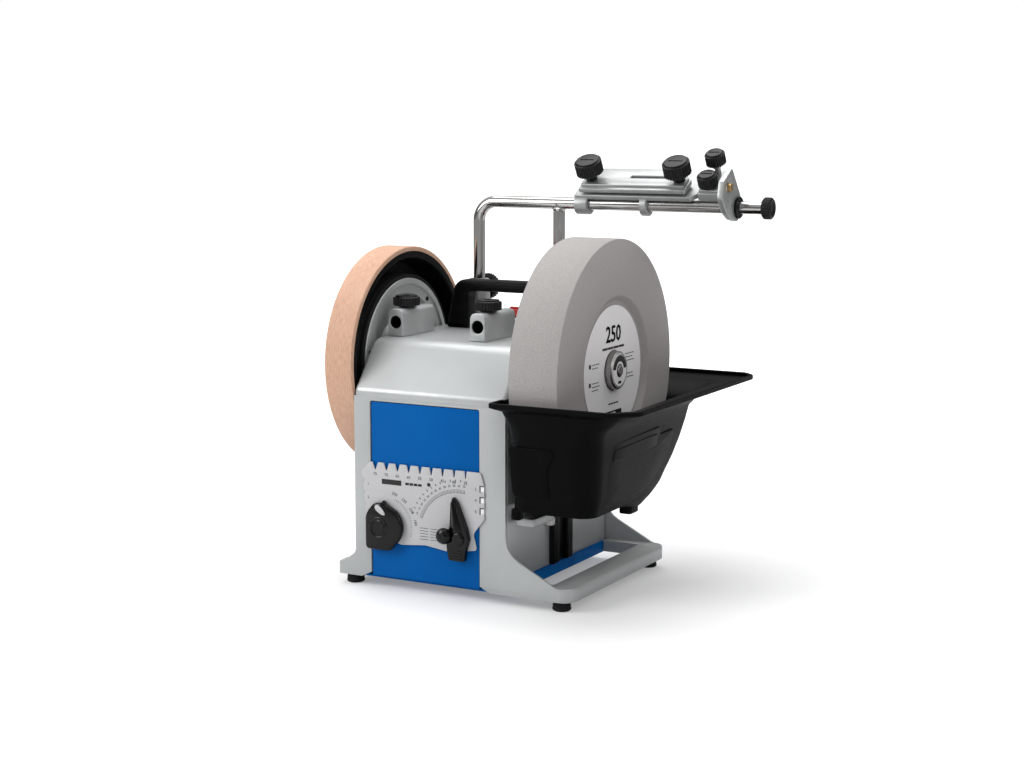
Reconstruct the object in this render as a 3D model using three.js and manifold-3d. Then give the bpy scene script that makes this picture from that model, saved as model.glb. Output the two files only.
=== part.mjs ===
// Wet grinding sharpener: a water-cooled bench grinder with a grindstone on the
// right, a leather honing wheel on the left, a friction drive inside, a water
// trough on a screw lift, and a clamping jig on a universal support bar.
// Units are millimetres. +X runs along the shaft to the right, the front of the
// machine faces -Y and +Z is up. All sizes are first laid out about the shaft's
// axis, at the middle of the grindstone's right face. The finished group is then
// moved so that its origin is the centre of its bounding box's underside.

import * as THREE from 'three';
import { mergeVertices } from 'three/addons/utils/BufferGeometryUtils.js';
import Module from 'manifold-3d';

const wasm = await Module();
wasm.setup();

// ---------------------------------------------------------------- driving sizes

const gap = 0.3;              // between pieces that touch or run in each other
const overrun = 5;            // how far a cutting shape runs past what it cuts
const turn = Math.PI * 2;

// wheels and shaft
const shaftRadius = 6;
const stoneRadius = 125;
const stoneWidth = 50;
const stoneRecessRadius = 71;
const stoneRecessDepth = 5;
const labelRadius = 62;
const labelThickness = 0.5;
const honingRadius = 110;
const honingWidth = 31;
const leatherThickness = 5;
const honingClearance = 1.5;  // between the honing wheel and the housing
const honingRimWall = 6;
const honingWebThickness = 5;
const hubRadius = 15;
const flangeRadius = 16;      // shoulder that the grindstone is clamped against
const driveDiscRadius = 78;
const driveRingThickness = 4;
const driveRingWidth = 18;
const stoneToHousing = 12;    // between the grindstone's left face and the side wall
const stoneNutRadius = 18.5;
const stoneNutFront = 3;      // how far the nut stands out of the stone's face
const honingNutRadius = 22;
const honingNutLength = 12;
const bushingRadius = 14;

// housing
const housingWidth = 166;
const housingDepth = 216;
const housingTop = 26;        // above the shaft's axis
const housingBottom = -203.5;
const slantFootZ = -20;       // where the upright front turns into the slant
const slantTopY = 72;         // half depth of the flat top
const castingWall = 3;
const seamZ = -26;            // joint between the top casting and the frames
const sheet = 2.5;
const panelInset = 1;         // the blue panels lie behind the frames' faces
const panelLeftMargin = 18;
const panelRightMargin = 27.5;
const panelTopMargin = 4;
const footHeight = 9.5;
const footInset = 12;         // from the front and the back
const footRadius = 9;

// base that carries the trough side, and the small outrigger on the left
const baseReach = 68;         // how far the base runs past the right side wall
const baseBarHeight = 13;
const baseBarWidth = 25;
const baseCorner = 14;        // radius of the base's two right corners
const gussetHeight = 40.5;    // height of the gusset at the side wall
const outrigger = 19;
const outriggerRise = 23;

// support sockets, legs and bar
const barRadius = 6;
const legSpacing = 92;
const leftLegX = 35;          // from the housing's left side
const legY = 75;
const legBottomZ = -50;
const barZ = 153;
const barRightEnd = 116;
const elbowRadius = 20;
const rearSleeveRadius = 11;
const rearSleeveTop = 74;
const rearSleeveBottom = -10;
const frontSleeveZ = 40;
const frontSleeveWidth = 16.5;
const frontSleeveTop = 53;
const frontSleeveFrontY = -56;
const frontSleeveBackY = 5;
const frontSleeveShift = -20; // left of the legs behind
const lockKnobRadius = 13.5;
const lockKnobLength = 10;
const lockKnobStem = 6;
const rearLockDrop = 9.5;     // from the rear sleeves' tops to their knobs' axes
const endKnobRadius = 10.5;
const endKnobLength = 9;

// carrying handle and switch
const handleFrontY = 38;
const handleDepth = 20;
const handleTop = 75.5;
const handleBar = 11.5;
const handlePost = 25;
const handleLean = 12;
const handleInset = 16;       // from the housing's sides to the posts
const switchLeftX = 78;       // from the housing's left side
const switchWidth = 36;
const switchDepth = 22;
const switchY = 50;
const switchBaseHeight = 10;
const rockerHeight = 13;

// drive motor, hung from a pin so that its weight presses the roller on the ring
const rollerRadius = 5;
const motorRadius = 43;
const motorBore = 26;
const motorLength = 72;
const motorLeftX = 45;        // from the housing's left side
const motorToPanel = 6.56;    // from the motor's back to the rear panel
const motorPivotY = 30;
const motorPivotZ = 8;
const pivotPinRadius = 4;
const motorSwing = 3;         // degrees

// trough and its lift
const troughRimZ = -18;
const troughLip = 5;
const troughWall = 2.5;
const troughEar = 4;          // how far the rim reaches left in front of the housing
const troughRightX = 78;
const troughFrontY = -136;
const troughBackY = 168;
const troughCorner = 24;
const bowlFrontY = -128;
const bowlFrontFloorZ = -122; // the floor in front of the grindstone's dip
const bowlRightFront = 42;
const bowlRightBack = 30;
const bowlDraft = 14;         // how far the walls lean in from rim to floor
const waterGap = 2;           // between the grindstone and the trough's floor
const columnWidth = 40;
const columnDepth = 5.6;
const columnTop = -60;
const columnGroove = 15;
const shoeHeight = 58;
const liftNutRadius = 6;
const liftNutStud = 3;
const liftNutHeight = 8;
const bracketHeight = 8;

// angle gauge on the front
const gaugeThickness = 1.5;
const gaugeLeft = 8.5;        // from the housing's left side
const gaugeWidth = 136;
const gaugeTopZ = -89;
const gaugeHeight = 79;
const gaugeNotches = 9;
const dialRadius = 20.5;
const dialThickness = 7;
const pointerLength = 40;
const pointerThickness = 6;

// straight-edge jig on the bar; its own axes are tilted about the bar
const jigTilt = 30;           // degrees, nose down
const jigLeft = -80;
const jigRight = 90;
const jigDepth = 33;
const jawFloor = 7.5;         // underside of the lower jaw above the bar's axis
const jawThickness = 5;
const jawOpening = 2.5;
const clampThickness = 7;
const clampLeft = -74;
const clampRight = 40;
const clampFront = -3;
const jawFront = -4;
const clampKnobInset = 10;
const clampKnobRadius = 13.5;
const clampKnobHeight = 15;
const clampNeck = 7;
const studRadius = 3;
const headTop = 16;           // top of the casting at the jig's right end
const adjustKnobRadius = 10;
const adjustKnobHeight = 13;
const collarRadius = 10.5;
const collarLength = 14;
const jigLockRadius = 12.4;
const endPlate = 6;

// ---------------------------------------------------------------- derived places

const housingRight = -stoneWidth - stoneToHousing;
const housingLeft = housingRight - housingWidth;
const housingFront = -housingDepth / 2;
const housingBack = housingDepth / 2;
const floorZ = housingBottom - footHeight;
const honingRight = housingLeft - honingClearance;
const honingLeft = honingRight - honingWidth;
const driveRingRadius = driveDiscRadius + driveRingThickness;
const boreRadius = shaftRadius + gap;
const barBore = barRadius + gap;
const legX = [housingLeft + leftLegX, housingLeft + leftLegX + legSpacing];
const baseRight = housingRight + baseReach;
const baseLeft = housingLeft - outrigger;
const baseTop = housingBottom + baseBarHeight;
const panelLeft = housingLeft + panelLeftMargin;
const panelRight = housingRight - panelRightMargin;
const panelTop = seamZ - panelTopMargin;
const motorReach = driveRingRadius + rollerRadius + gap;
const motorY = housingBack - panelInset - sheet - motorToPanel - motorRadius;
const motorZ = -Math.sqrt(motorReach ** 2 - motorY ** 2);
const bowlFloorZ = -stoneRadius - waterGap - troughWall;
const troughLeftX = housingRight + gap;
const bowlLeftX = troughLeftX + columnDepth + 2 * gap;
const gaugeLeftX = housingLeft + gaugeLeft;
const gaugeRightX = gaugeLeftX + gaugeWidth;

// ---------------------------------------------------------------- solid helpers

function solidOf(geometry) {
  const bare = geometry.index ? geometry.toNonIndexed() : geometry.clone();
  bare.deleteAttribute('normal');
  bare.deleteAttribute('uv');
  const merged = mergeVertices(bare, 1e-4);
  const points = merged.attributes.position.array;
  const corners = merged.index.array;
  const kept = [];
  let volume = 0;
  for (let i = 0; i < corners.length; i += 3) {
    const [a, b, c] = [corners[i], corners[i + 1], corners[i + 2]];
    if (a === b || b === c || c === a) continue;
    kept.push(a, b, c);
    const [p, q, r] = [a, b, c].map((k) => new THREE.Vector3().fromArray(points, 3 * k));
    volume += p.dot(q.cross(r));
  }
  if (volume < 0) kept.reverse();
  return new wasm.Manifold(new wasm.Mesh({
    numProp: 3, vertProperties: points, triVerts: new Uint32Array(kept),
  }));
}

function geometryOf(solid) {
  const mesh = solid.getMesh();
  const geometry = new THREE.BufferGeometry();
  geometry.setAttribute('position', new THREE.BufferAttribute(mesh.vertProperties, 3));
  geometry.setIndex(new THREE.BufferAttribute(mesh.triVerts, 1));
  geometry.computeVertexNormals();
  return geometry;
}

const join = (first, ...others) => others.reduce((sum, other) => sum.add(other), first);
const cut = (first, ...others) => others.reduce((sum, other) => sum.subtract(other), first);

function block(x, y, z) {
  const geometry = new THREE.BoxGeometry(x[1] - x[0], y[1] - y[0], z[1] - z[0]);
  geometry.translate((x[0] + x[1]) / 2, (y[0] + y[1]) / 2, (z[0] + z[1]) / 2);
  return solidOf(geometry);
}

// Turns a geometry made along +Y (the lathe's axis) to run along X, Y or Z.
function lay(geometry, axis) {
  if (axis === 'x') geometry.rotateZ(-Math.PI / 2);
  if (axis === 'z') geometry.rotateX(Math.PI / 2);
  return geometry;
}

// A turned piece: profile points are [radius, place along the axis].
function turned(axis, profile, centre = [0, 0, 0], sides = 24) {
  const points = profile.map(([r, a]) => new THREE.Vector2(r, a));
  const geometry = lay(new THREE.LatheGeometry(points, sides), axis);
  geometry.translate(...centre);
  return solidOf(geometry);
}

const rod = (axis, radius, from, to, centre, sides) => turned(
  axis, [[0, from], [radius, from], [radius, to], [0, to]], centre, sides);

const ring = (axis, inner, outer, from, to, centre, sides) => turned(
  axis, [[inner, from], [outer, from], [outer, to], [inner, to], [inner, from]], centre, sides);

// A ribbed grip: a star-shaped outline extruded along an axis.
function grip(axis, radius, from, to, centre, ribs = 14, depth = 0.8) {
  const shape = new THREE.Shape();
  for (let i = 0; i < ribs * 2; i += 1) {
    const angle = turn * i / (ribs * 2);
    const r = i % 2 ? radius : radius - depth;
    const point = [r * Math.cos(angle), r * Math.sin(angle)];
    if (i) shape.lineTo(...point);
    else shape.moveTo(...point);
  }
  const geometry = new THREE.ExtrudeGeometry(shape, { depth: to - from, bevelEnabled: false });
  geometry.translate(0, 0, from);
  if (axis === 'x') geometry.rotateY(Math.PI / 2);
  if (axis === 'y') geometry.rotateX(-Math.PI / 2);
  geometry.translate(...centre);
  return solidOf(geometry);
}

function outline(points) {
  const shape = new THREE.Shape();
  shape.moveTo(...points[0]);
  points.slice(1).forEach((point) => shape.lineTo(...point));
  return shape;
}

// Extrudes an outline in (y, z) along X, in (x, z) along Y or in (x, y) along Z.
function prism(axis, shape, from, to, curveSegments = 4) {
  const geometry = new THREE.ExtrudeGeometry(shape, {
    depth: to - from, bevelEnabled: false, curveSegments,
  });
  if (axis === 'x') {
    geometry.rotateX(Math.PI / 2);
    geometry.rotateZ(Math.PI / 2);
    geometry.translate(from, 0, 0);
  }
  if (axis === 'y') {
    geometry.rotateX(Math.PI / 2);
    geometry.translate(0, to, 0);
  }
  if (axis === 'z') geometry.translate(0, 0, from);
  return solidOf(geometry);
}

// ---------------------------------------------------------------- finishes

const paint = (color, roughness, metalness) => new THREE.MeshStandardMaterial({
  color, roughness, metalness,
});
const finishes = {
  silver: () => paint(0xbfc3c4, 0.42, 0.35),
  blue: () => paint(0x0058a5, 0.4, 0.1),
  black: () => paint(0x1c1d1f, 0.5, 0),
  steel: () => paint(0xa9acae, 0.3, 0.9),
  chrome: () => paint(0xd5d7d8, 0.12, 1),
  castAluminium: () => paint(0xc2c6c7, 0.38, 0.6),
  stone: () => paint(0xaaa8a6, 0.95, 0),
  paper: () => paint(0xe2e2e2, 0.8, 0),
  leather: () => paint(0xe0b294, 0.8, 0),
  rubber: () => paint(0x202020, 0.9, 0),
  red: () => paint(0xb3262a, 0.4, 0),
  bronze: () => paint(0xa9763e, 0.4, 0.8),
};

const sharpener = new THREE.Group();

function add(name, solid, finish, parent = sharpener) {
  const mesh = new THREE.Mesh(geometryOf(solid), finishes[finish]());
  mesh.name = name;
  parent.add(mesh);
  return mesh;
}

// ---------------------------------------------------------------- housing

// Side view of the upper housing, drawn inwards by inset and rounded at its bends.
function housingSection(inset, bottom) {
  const slant = Math.atan2(housingTop - slantFootZ, housingBack - slantTopY);
  const lowTurn = (Math.PI / 2 - slant) / 2;
  const highTurn = slant / 2;
  const side = housingBack - inset;
  const foot = [side, slantFootZ - inset * Math.tan(lowTurn)];
  const top = [slantTopY - inset * Math.tan(highTurn), housingTop - inset];
  const bend = 12;
  const along = [Math.cos(slant) * bend, Math.sin(slant) * bend];
  const shape = new THREE.Shape();
  shape.moveTo(-side, bottom);
  shape.lineTo(-side, foot[1] - bend / 2);
  shape.quadraticCurveTo(-side, foot[1], -foot[0] + along[0] / 2, foot[1] + along[1] / 2);
  shape.lineTo(-top[0] - along[0], top[1] - along[1]);
  shape.quadraticCurveTo(-top[0], top[1], -top[0] + bend, top[1]);
  shape.lineTo(top[0] - bend, top[1]);
  shape.quadraticCurveTo(top[0], top[1], top[0] + along[0], top[1] - along[1]);
  shape.lineTo(foot[0] - along[0] / 2, foot[1] + along[1] / 2);
  shape.quadraticCurveTo(side, foot[1], side, foot[1] - bend / 2);
  shape.lineTo(side, bottom);
  return shape;
}

function topCasting() {
  const inner = [housingLeft + castingWall, housingRight - castingWall];
  const across = [housingLeft - overrun, housingRight + overrun];
  return cut(
    prism('x', housingSection(0, seamZ), housingLeft, housingRight),
    prism('x', housingSection(castingWall, seamZ - overrun), ...inner),
    rod('x', bushingRadius + gap, ...across),
    rod('x', pivotPinRadius + gap, ...across, [0, motorPivotY, motorPivotZ], 12),
    ...legX.map((x) => rod('z', rearSleeveRadius + gap, rearSleeveBottom, housingTop + overrun,
      [x, legY, 0])),
  );
}

// Front and rear frames share one outline in (x, z): an arch round the panel, a
// long gusset and base bar on the right and a short outrigger on the left.
function frameOutline() {
  const top = seamZ - gap;
  const chamfer = 11;
  const lip = 5.5;
  return outline([
    [housingLeft, top], [housingRight, top],
    [housingRight, baseTop + gussetHeight - baseBarHeight],
    [baseRight - baseCorner - 1, baseTop], [baseRight - baseCorner, baseTop],
    [baseRight - baseCorner, housingBottom],
    [panelRight + chamfer, housingBottom], [panelRight, housingBottom + lip],
    [panelRight, panelTop], [panelLeft, panelTop],
    [panelLeft, housingBottom + lip], [panelLeft - chamfer, housingBottom],
    [baseLeft, housingBottom], [baseLeft, baseTop], [baseLeft + 5, baseTop],
    [housingLeft, baseTop + outriggerRise - baseBarHeight],
  ]);
}

const frameY = [housingFront, housingFront + sheet];
const panelY = [housingFront + panelInset, housingFront + panelInset + sheet];

add('top_casting', topCasting(), 'silver');
add('front_frame', prism('y', frameOutline(), ...frameY), 'silver');
add('rear_frame', prism('y', frameOutline(), -frameY[1], -frameY[0]), 'silver');
const panelX = [panelLeft + gap, panelRight - gap];
const panelZ = [housingBottom + sheet + gap, panelTop - gap];
add('front_panel', block(panelX, panelY, panelZ), 'blue');
add('rear_panel', block(panelX, [-panelY[1], -panelY[0]], panelZ), 'blue');

const wallY = [panelY[1] + 2 * gap, -panelY[1] - 2 * gap];
const wallZ = [housingBottom + sheet + gap, seamZ - gap];
const motorHole = rollerRadius + motorReach * motorSwing * Math.PI / 180 + 2 * gap;
add('right_side_plate', block([housingRight - sheet, housingRight], wallY, wallZ), 'silver');
add('left_side_plate', cut(
  block([housingLeft, housingLeft + sheet], wallY, wallZ),
  rod('x', motorHole, housingLeft - overrun, housingLeft + 2 * overrun, [0, motorY, motorZ]),
), 'silver');

// Bottom pan: a sheet with an upturned flange along the right side wall.
const panFlange = 9;
const panRight = housingRight + gap + sheet;
add('base_pan', join(
  block([housingLeft, panRight], wallY, [housingBottom, housingBottom + sheet]),
  block([housingRight + gap, panRight], wallY,
    [housingBottom, housingBottom + sheet + panFlange]),
), 'blue');

// The base's right end seen from above, with two round corners, drawn inwards by
// inset. Left of the corners it stops short of the frames' sheets.
function baseEnd(inset, left, sideY) {
  const radius = baseCorner - inset;
  const turnX = baseRight - baseCorner;
  const turnY = housingBack - baseCorner;
  const shape = new THREE.Shape();
  shape.moveTo(left, -sideY);
  shape.lineTo(turnX + gap, -sideY);
  shape.absarc(turnX + gap, -turnY, radius, -Math.PI / 2, 0, false);
  shape.absarc(turnX + gap, turnY, radius, 0, Math.PI / 2, false);
  shape.lineTo(turnX + gap, sideY);
  shape.lineTo(left, sideY);
  return shape;
}

const underBase = housingBottom - overrun;
add('right_base_bar', cut(
  prism('z', baseEnd(0, panRight + gap, wallY[1]), housingBottom, baseTop, 5),
  prism('z', baseEnd(sheet, panRight - overrun, housingBack - sheet), underBase,
    baseTop - sheet, 5),
  block([panRight - overrun, baseRight - baseBarWidth],
    [wallY[0] + baseBarHeight - sheet, wallY[1] - baseBarHeight + sheet],
    [underBase, baseTop + overrun]),
), 'silver');
add('left_base_bar', join(
  block([baseLeft, housingLeft - gap], wallY, [baseTop - sheet, baseTop]),
  block([baseLeft, baseLeft + sheet], wallY, [housingBottom, baseTop]),
), 'silver');

const footY = housingBack - footInset;
const footPlaces = {
  front_right_foot: [baseRight - baseCorner - 1, -footY],
  rear_right_foot: [baseRight - baseCorner - 1, footY],
  front_left_foot: [baseLeft + 11, -footY],
  rear_left_foot: [baseLeft + 11, footY],
};
Object.entries(footPlaces).forEach(([name, [x, y]]) => {
  add(name, turned('z', [
    [0, floorZ], [footRadius - 1, floorZ], [footRadius, floorZ + 2], [footRadius - 1.5, housingBottom],
    [4, housingBottom], [4, baseTop - sheet - gap], [0, baseTop - sheet - gap],
  ], [x, y, 0], 16), 'black');
});

// ---------------------------------------------------------------- handle and switch

function handleOutline() {
  const left = housingLeft + handleInset;
  const right = housingRight - handleInset;
  const foot = housingTop + gap;
  const round = 8;
  const shape = new THREE.Shape();
  shape.moveTo(left, foot);
  shape.lineTo(left + handlePost, foot);
  shape.lineTo(left + handlePost, handleTop - handleBar - round / 2);
  shape.quadraticCurveTo(left + handlePost, handleTop - handleBar,
    left + handlePost + round / 2, handleTop - handleBar);
  shape.lineTo(right - handlePost - round / 2, handleTop - handleBar);
  shape.quadraticCurveTo(right - handlePost, handleTop - handleBar,
    right - handlePost, handleTop - handleBar - round / 2);
  shape.lineTo(right - handlePost, foot);
  shape.lineTo(right, foot);
  shape.lineTo(right - handleLean, handleTop - round);
  shape.quadraticCurveTo(right - handleLean - 2, handleTop, right - handleLean - round, handleTop);
  shape.lineTo(left + handleLean + round, handleTop);
  shape.quadraticCurveTo(left + handleLean + 2, handleTop, left + handleLean, handleTop - round);
  return shape;
}
add('carrying_handle',
  prism('y', handleOutline(), handleFrontY, handleFrontY + handleDepth, 3), 'black');

const switchX = [housingLeft + switchLeftX, housingLeft + switchLeftX + switchWidth];
const switchYs = [switchY, switchY + switchDepth];
const switchTop = housingTop + gap + switchBaseHeight;
const rockerY = (switchYs[0] + switchYs[1]) / 2;
add('switch_base', cut(
  block(switchX, switchYs, [housingTop + gap, switchTop]),
  block([switchX[0] + 3, switchX[1] - 3], [rockerY - 5, rockerY + 5],
    [switchTop - 2, switchTop + overrun]),
), 'black');
const rockerHalf = switchDepth / 2 - 1;
const rockerFoot = switchTop + gap + 2;
add('switch_rocker', prism('x', outline([
  [rockerY - 2, switchTop + gap], [rockerY + 2, switchTop + gap], [rockerY + rockerHalf, rockerFoot + 1.5],
  [rockerY + rockerHalf - 2, rockerFoot + 5], [rockerY - rockerHalf + 3, switchTop + rockerHeight],
  [rockerY - rockerHalf, switchTop + rockerHeight - 3], [rockerY - rockerHalf, rockerFoot + 1.5],
]), switchX[0] + 4, switchX[1] - 4), 'red');

add('cord_inlet', turned('y', [
  [0, panelY[0]], [7, panelY[0]], [7, panelY[1] + gap], [10, panelY[1] + gap],
  [8, panelY[1] + 8], [4, panelY[1] + 8], [4, panelY[1] + 3], [0, panelY[1] + 3],
].map(([r, a]) => [r, a - panelY[0] + housingBack - gap]), [panelLeft + 20, 0, -165], 16), 'black');

// ---------------------------------------------------------------- support sockets

function frontSleeve(x) {
  const half = frontSleeveWidth / 2;
  const shoulder = frontSleeveTop - 5;
  return cut(
    prism('y', outline([
      [x - half, housingTop + gap], [x + half, housingTop + gap], [x + half, shoulder],
      [x + half - 4, frontSleeveTop], [x - half + 4, frontSleeveTop], [x - half, shoulder],
    ]), frontSleeveFrontY, frontSleeveBackY),
    rod('y', barBore, frontSleeveFrontY - overrun, frontSleeveBackY - 4, [x, 0, frontSleeveZ]),
  );
}

function lockKnob(axis, centre, from) {
  return join(
    rod(axis, lockKnobStem, from, from + 1.5, centre, 12),
    grip(axis, lockKnobRadius, from + 1, from + 1 + lockKnobLength, centre),
  );
}

const frontSleeveX = legX.map((x) => x + frontSleeveShift);
const sideNames = ['left', 'right'];
sideNames.forEach((side, i) => {
  add(`${side}_front_sleeve`, frontSleeve(frontSleeveX[i]), 'silver');
  add(`${side}_front_lock_knob`,
    lockKnob('z', [frontSleeveX[i], -35, 0], frontSleeveTop + gap), 'black');
  add(`${side}_rear_sleeve`,
    ring('z', barBore, rearSleeveRadius, rearSleeveBottom, rearSleeveTop,
      [legX[i], legY, 0]), 'silver');
  add(`${side}_rear_lock_knob`,
    lockKnob('y', [legX[i], 0, rearSleeveTop - rearLockDrop],
      legY + rearSleeveRadius + gap), 'black');
});

// ---------------------------------------------------------------- spindle

const shaftRightEnd = stoneNutFront + 1;
const shaftLeftEnd = honingLeft - honingNutLength - 2;
const flangeX = [housingRight + 4, -stoneWidth - gap];
add('main_shaft', turned('x', [
  [0, shaftLeftEnd], [shaftRadius, shaftLeftEnd], [shaftRadius, flangeX[0]],
  [flangeRadius, flangeX[0]], [flangeRadius, flangeX[1]],
  [shaftRadius, flangeX[1]], [shaftRadius, shaftRightEnd], [0, shaftRightEnd],
]), 'steel');

const bushing = (wallX) => ring('x', boreRadius, bushingRadius,
  wallX - 2, wallX + castingWall + 6);
add('left_bushing', bushing(housingLeft), 'bronze');
add('right_bushing', bushing(housingRight - castingWall - 4), 'bronze');

const wheelSides = 48;
const stoneChamfer = 1.5;
add('grindstone', turned('x', [
  [boreRadius, -stoneWidth], [stoneRadius - stoneChamfer, -stoneWidth],
  [stoneRadius, -stoneWidth + stoneChamfer], [stoneRadius, -stoneChamfer],
  [stoneRadius - stoneChamfer, 0], [stoneRecessRadius, 0],
  [stoneRecessRadius - 5, -stoneRecessDepth], [boreRadius, -stoneRecessDepth],
  [boreRadius, -stoneWidth],
], [0, 0, 0], wheelSides), 'stone');
const labelX = -stoneRecessDepth + gap;
add('stone_label',
  ring('x', stoneNutRadius + 1, labelRadius, labelX, labelX + labelThickness), 'paper');
add('stone_nut', turned('x', [
  [boreRadius, labelX], [stoneNutRadius, labelX], [stoneNutRadius, stoneNutFront - 1],
  [stoneNutRadius - 1, stoneNutFront], [boreRadius, stoneNutFront], [boreRadius, labelX],
]), 'steel');

const leatherInner = honingRadius - leatherThickness;
const cavityOuter = leatherInner - honingRimWall;
add('honing_leather', ring('x', leatherInner + gap, honingRadius, honingLeft, honingRight,
  [0, 0, 0], wheelSides), 'leather');
add('honing_core', turned('x', [
  [boreRadius, honingLeft], [leatherInner, honingLeft], [leatherInner, honingRight],
  [cavityOuter, honingRight], [cavityOuter - 2, honingLeft + honingWebThickness],
  [boreRadius, honingLeft + honingWebThickness], [boreRadius, honingLeft],
], [0, 0, 0], wheelSides), 'black');
add('honing_nut', turned('x', [
  [boreRadius, honingLeft - honingNutLength], [honingNutRadius - 2, honingLeft - honingNutLength],
  [honingNutRadius, honingLeft - honingNutLength + 3], [honingNutRadius, honingLeft - gap],
  [boreRadius, honingLeft - gap], [boreRadius, honingLeft - honingNutLength],
]), 'black');

const discLeft = honingLeft + honingWebThickness + gap;
const ringX = [discLeft + 2.5, discLeft + 2.5 + driveRingWidth];
const discWeb = 4;
add('drive_wheel', turned('x', [
  [boreRadius, discLeft], [driveDiscRadius, discLeft], [driveDiscRadius, ringX[1] + 1],
  [driveDiscRadius - 6, ringX[1] + 1], [driveDiscRadius - 16, discLeft + discWeb + 4],
  [hubRadius + 12, discLeft + discWeb], [hubRadius, discLeft + discWeb],
  [hubRadius - 2, honingRight - 1], [boreRadius, honingRight - 1], [boreRadius, discLeft],
], [0, 0, 0], wheelSides), 'castAluminium');
add('drive_ring', ring('x', driveDiscRadius + gap, driveRingRadius, ...ringX,
  [0, 0, 0], wheelSides), 'rubber');

// ---------------------------------------------------------------- motor

const motorX = [housingLeft + motorLeftX, housingLeft + motorLeftX + motorLength];
const motorCentre = [0, motorY, motorZ];
const pivotCentre = [0, motorPivotY, motorPivotZ];
const endWall = 5;
const shaftHole = rollerRadius + gap;

function motorCase() {
  const lug = prism('x', outline([
    [motorPivotY - 9, motorPivotZ + 4], [motorPivotY + 9, motorPivotZ + 4],
    [motorY + 16, motorZ + motorRadius - 5], [motorY - 16, motorZ + motorRadius - 5],
  ]), motorX[0], motorX[1]);
  const drum = turned('x', [
    [0, motorX[0]], [motorRadius, motorX[0]], [motorRadius, motorX[1]], [0, motorX[1]],
  ], motorCentre, 32);
  return cut(
    join(drum, lug),
    rod('x', motorBore, motorX[0] + endWall, motorX[1] - endWall, motorCentre),
    rod('x', shaftHole, motorX[0] - overrun, motorX[1] + overrun, motorCentre, 16),
    rod('x', pivotPinRadius + gap, motorX[0] - overrun, motorX[1] + overrun, pivotCentre, 12),
  );
}

add('motor_case', motorCase(), 'steel');
add('motor_rotor', turned('x', [
  [0, ringX[0]], [rollerRadius, ringX[0]], [rollerRadius, motorX[0] + endWall + 2],
  [motorBore - 1, motorX[0] + endWall + 2], [motorBore - 1, motorX[1] - endWall - 2],
  [rollerRadius, motorX[1] - endWall - 2], [rollerRadius, motorX[1] - 1], [0, motorX[1] - 1],
], motorCentre, 16), 'steel');
add('motor_pivot_pin',
  rod('x', pivotPinRadius, housingLeft + 0.5, housingRight - 0.5, pivotCentre, 12), 'steel');

// ---------------------------------------------------------------- universal support

function tube(path, steps, radius = barRadius, sides = 16) {
  const circle = new THREE.Shape();
  circle.absarc(0, 0, radius, 0, turn, false);
  return solidOf(new THREE.ExtrudeGeometry(circle, {
    extrudePath: path, steps, curveSegments: sides / 2, bevelEnabled: false,
  }));
}

function supportBar() {
  const [left, right] = legX;
  const elbow = new THREE.CurvePath();
  const corner = new THREE.Vector3(left, legY, barZ);
  const below = new THREE.Vector3(left, legY, barZ - elbowRadius);
  const beside = new THREE.Vector3(left + elbowRadius, legY, barZ);
  elbow.add(new THREE.QuadraticBezierCurve3(below, corner, beside));
  return join(
    rod('z', barRadius, legBottomZ, barZ - elbowRadius + 0.01, [left, legY, 0], 16),
    tube(elbow, 8),
    rod('x', barRadius, left + elbowRadius - 0.01, barRightEnd, [0, legY, barZ], 16),
    rod('z', barRadius, legBottomZ, barZ, [right, legY, 0], 16),
  );
}

add('universal_support', supportBar(), 'chrome');
add('bar_end_knob', grip('x', endKnobRadius, barRightEnd + gap,
  barRightEnd + gap + endKnobLength, [0, legY, barZ], 16, 0.7), 'black');

// ---------------------------------------------------------------- water trough

// Side view of the bowl: a leaning front wall, a level floor, and a dip that
// follows the grindstone's curve under it and up to the rim at the back.
function bowlSection(inset, top) {
  const front = bowlFrontY + inset;
  const floor = bowlFrontFloorZ + inset;
  const radius = -bowlFloorZ - inset;
  const dip = Math.acos(-floor / radius);
  const rise = Math.asin(-(troughRimZ - 24) / radius);
  const shape = new THREE.Shape();
  shape.moveTo(front, top);
  shape.lineTo(front, troughRimZ - 20);
  shape.lineTo(front + bowlDraft, floor + 8);
  shape.lineTo(front + bowlDraft + 8, floor);
  shape.absarc(0, 0, radius, -Math.PI / 2 - dip, -rise, false);
  shape.lineTo(radius * Math.cos(rise) + 14, top);
  return shape;
}

// The bowl is wider at the front and at the rim than at the back and the floor.
function bowl(inset, top) {
  const geometry = new THREE.ExtrudeGeometry(bowlSection(inset, top), {
    depth: 1, steps: 1, bevelEnabled: false, curveSegments: 14,
  });
  geometry.rotateX(Math.PI / 2);
  geometry.rotateZ(Math.PI / 2);
  const position = geometry.attributes.position;
  const length = troughBackY - bowlFrontY;
  for (let i = 0; i < position.count; i += 1) {
    const y = position.getY(i);
    const z = position.getZ(i);
    const depth = Math.min(1, Math.max(0, (troughRimZ - z) / (troughRimZ - bowlFloorZ)));
    const back = (y - bowlFrontY) / length;
    const right = bowlRightFront + (bowlRightBack - bowlRightFront) * back - bowlDraft * depth;
    const x = position.getX(i) > 0.5 ? right - inset : bowlLeftX + inset;
    position.setX(i, x);
  }
  return solidOf(geometry);
}

const earBackY = housingFront - 2;
const rimPoints = (inset) => outline([
  [troughLeftX + inset, earBackY - inset],
  [troughLeftX - troughEar + inset, earBackY - inset],
  [troughLeftX - troughEar + inset, troughFrontY + inset],
  [troughRightX - troughCorner, troughFrontY + inset],
  [troughRightX - inset, troughFrontY + troughCorner],
  [troughRightX - inset, troughBackY - troughCorner / 2],
  [troughRightX - troughCorner / 2, troughBackY - inset],
  [troughLeftX + inset, troughBackY - inset],
]);

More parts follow.
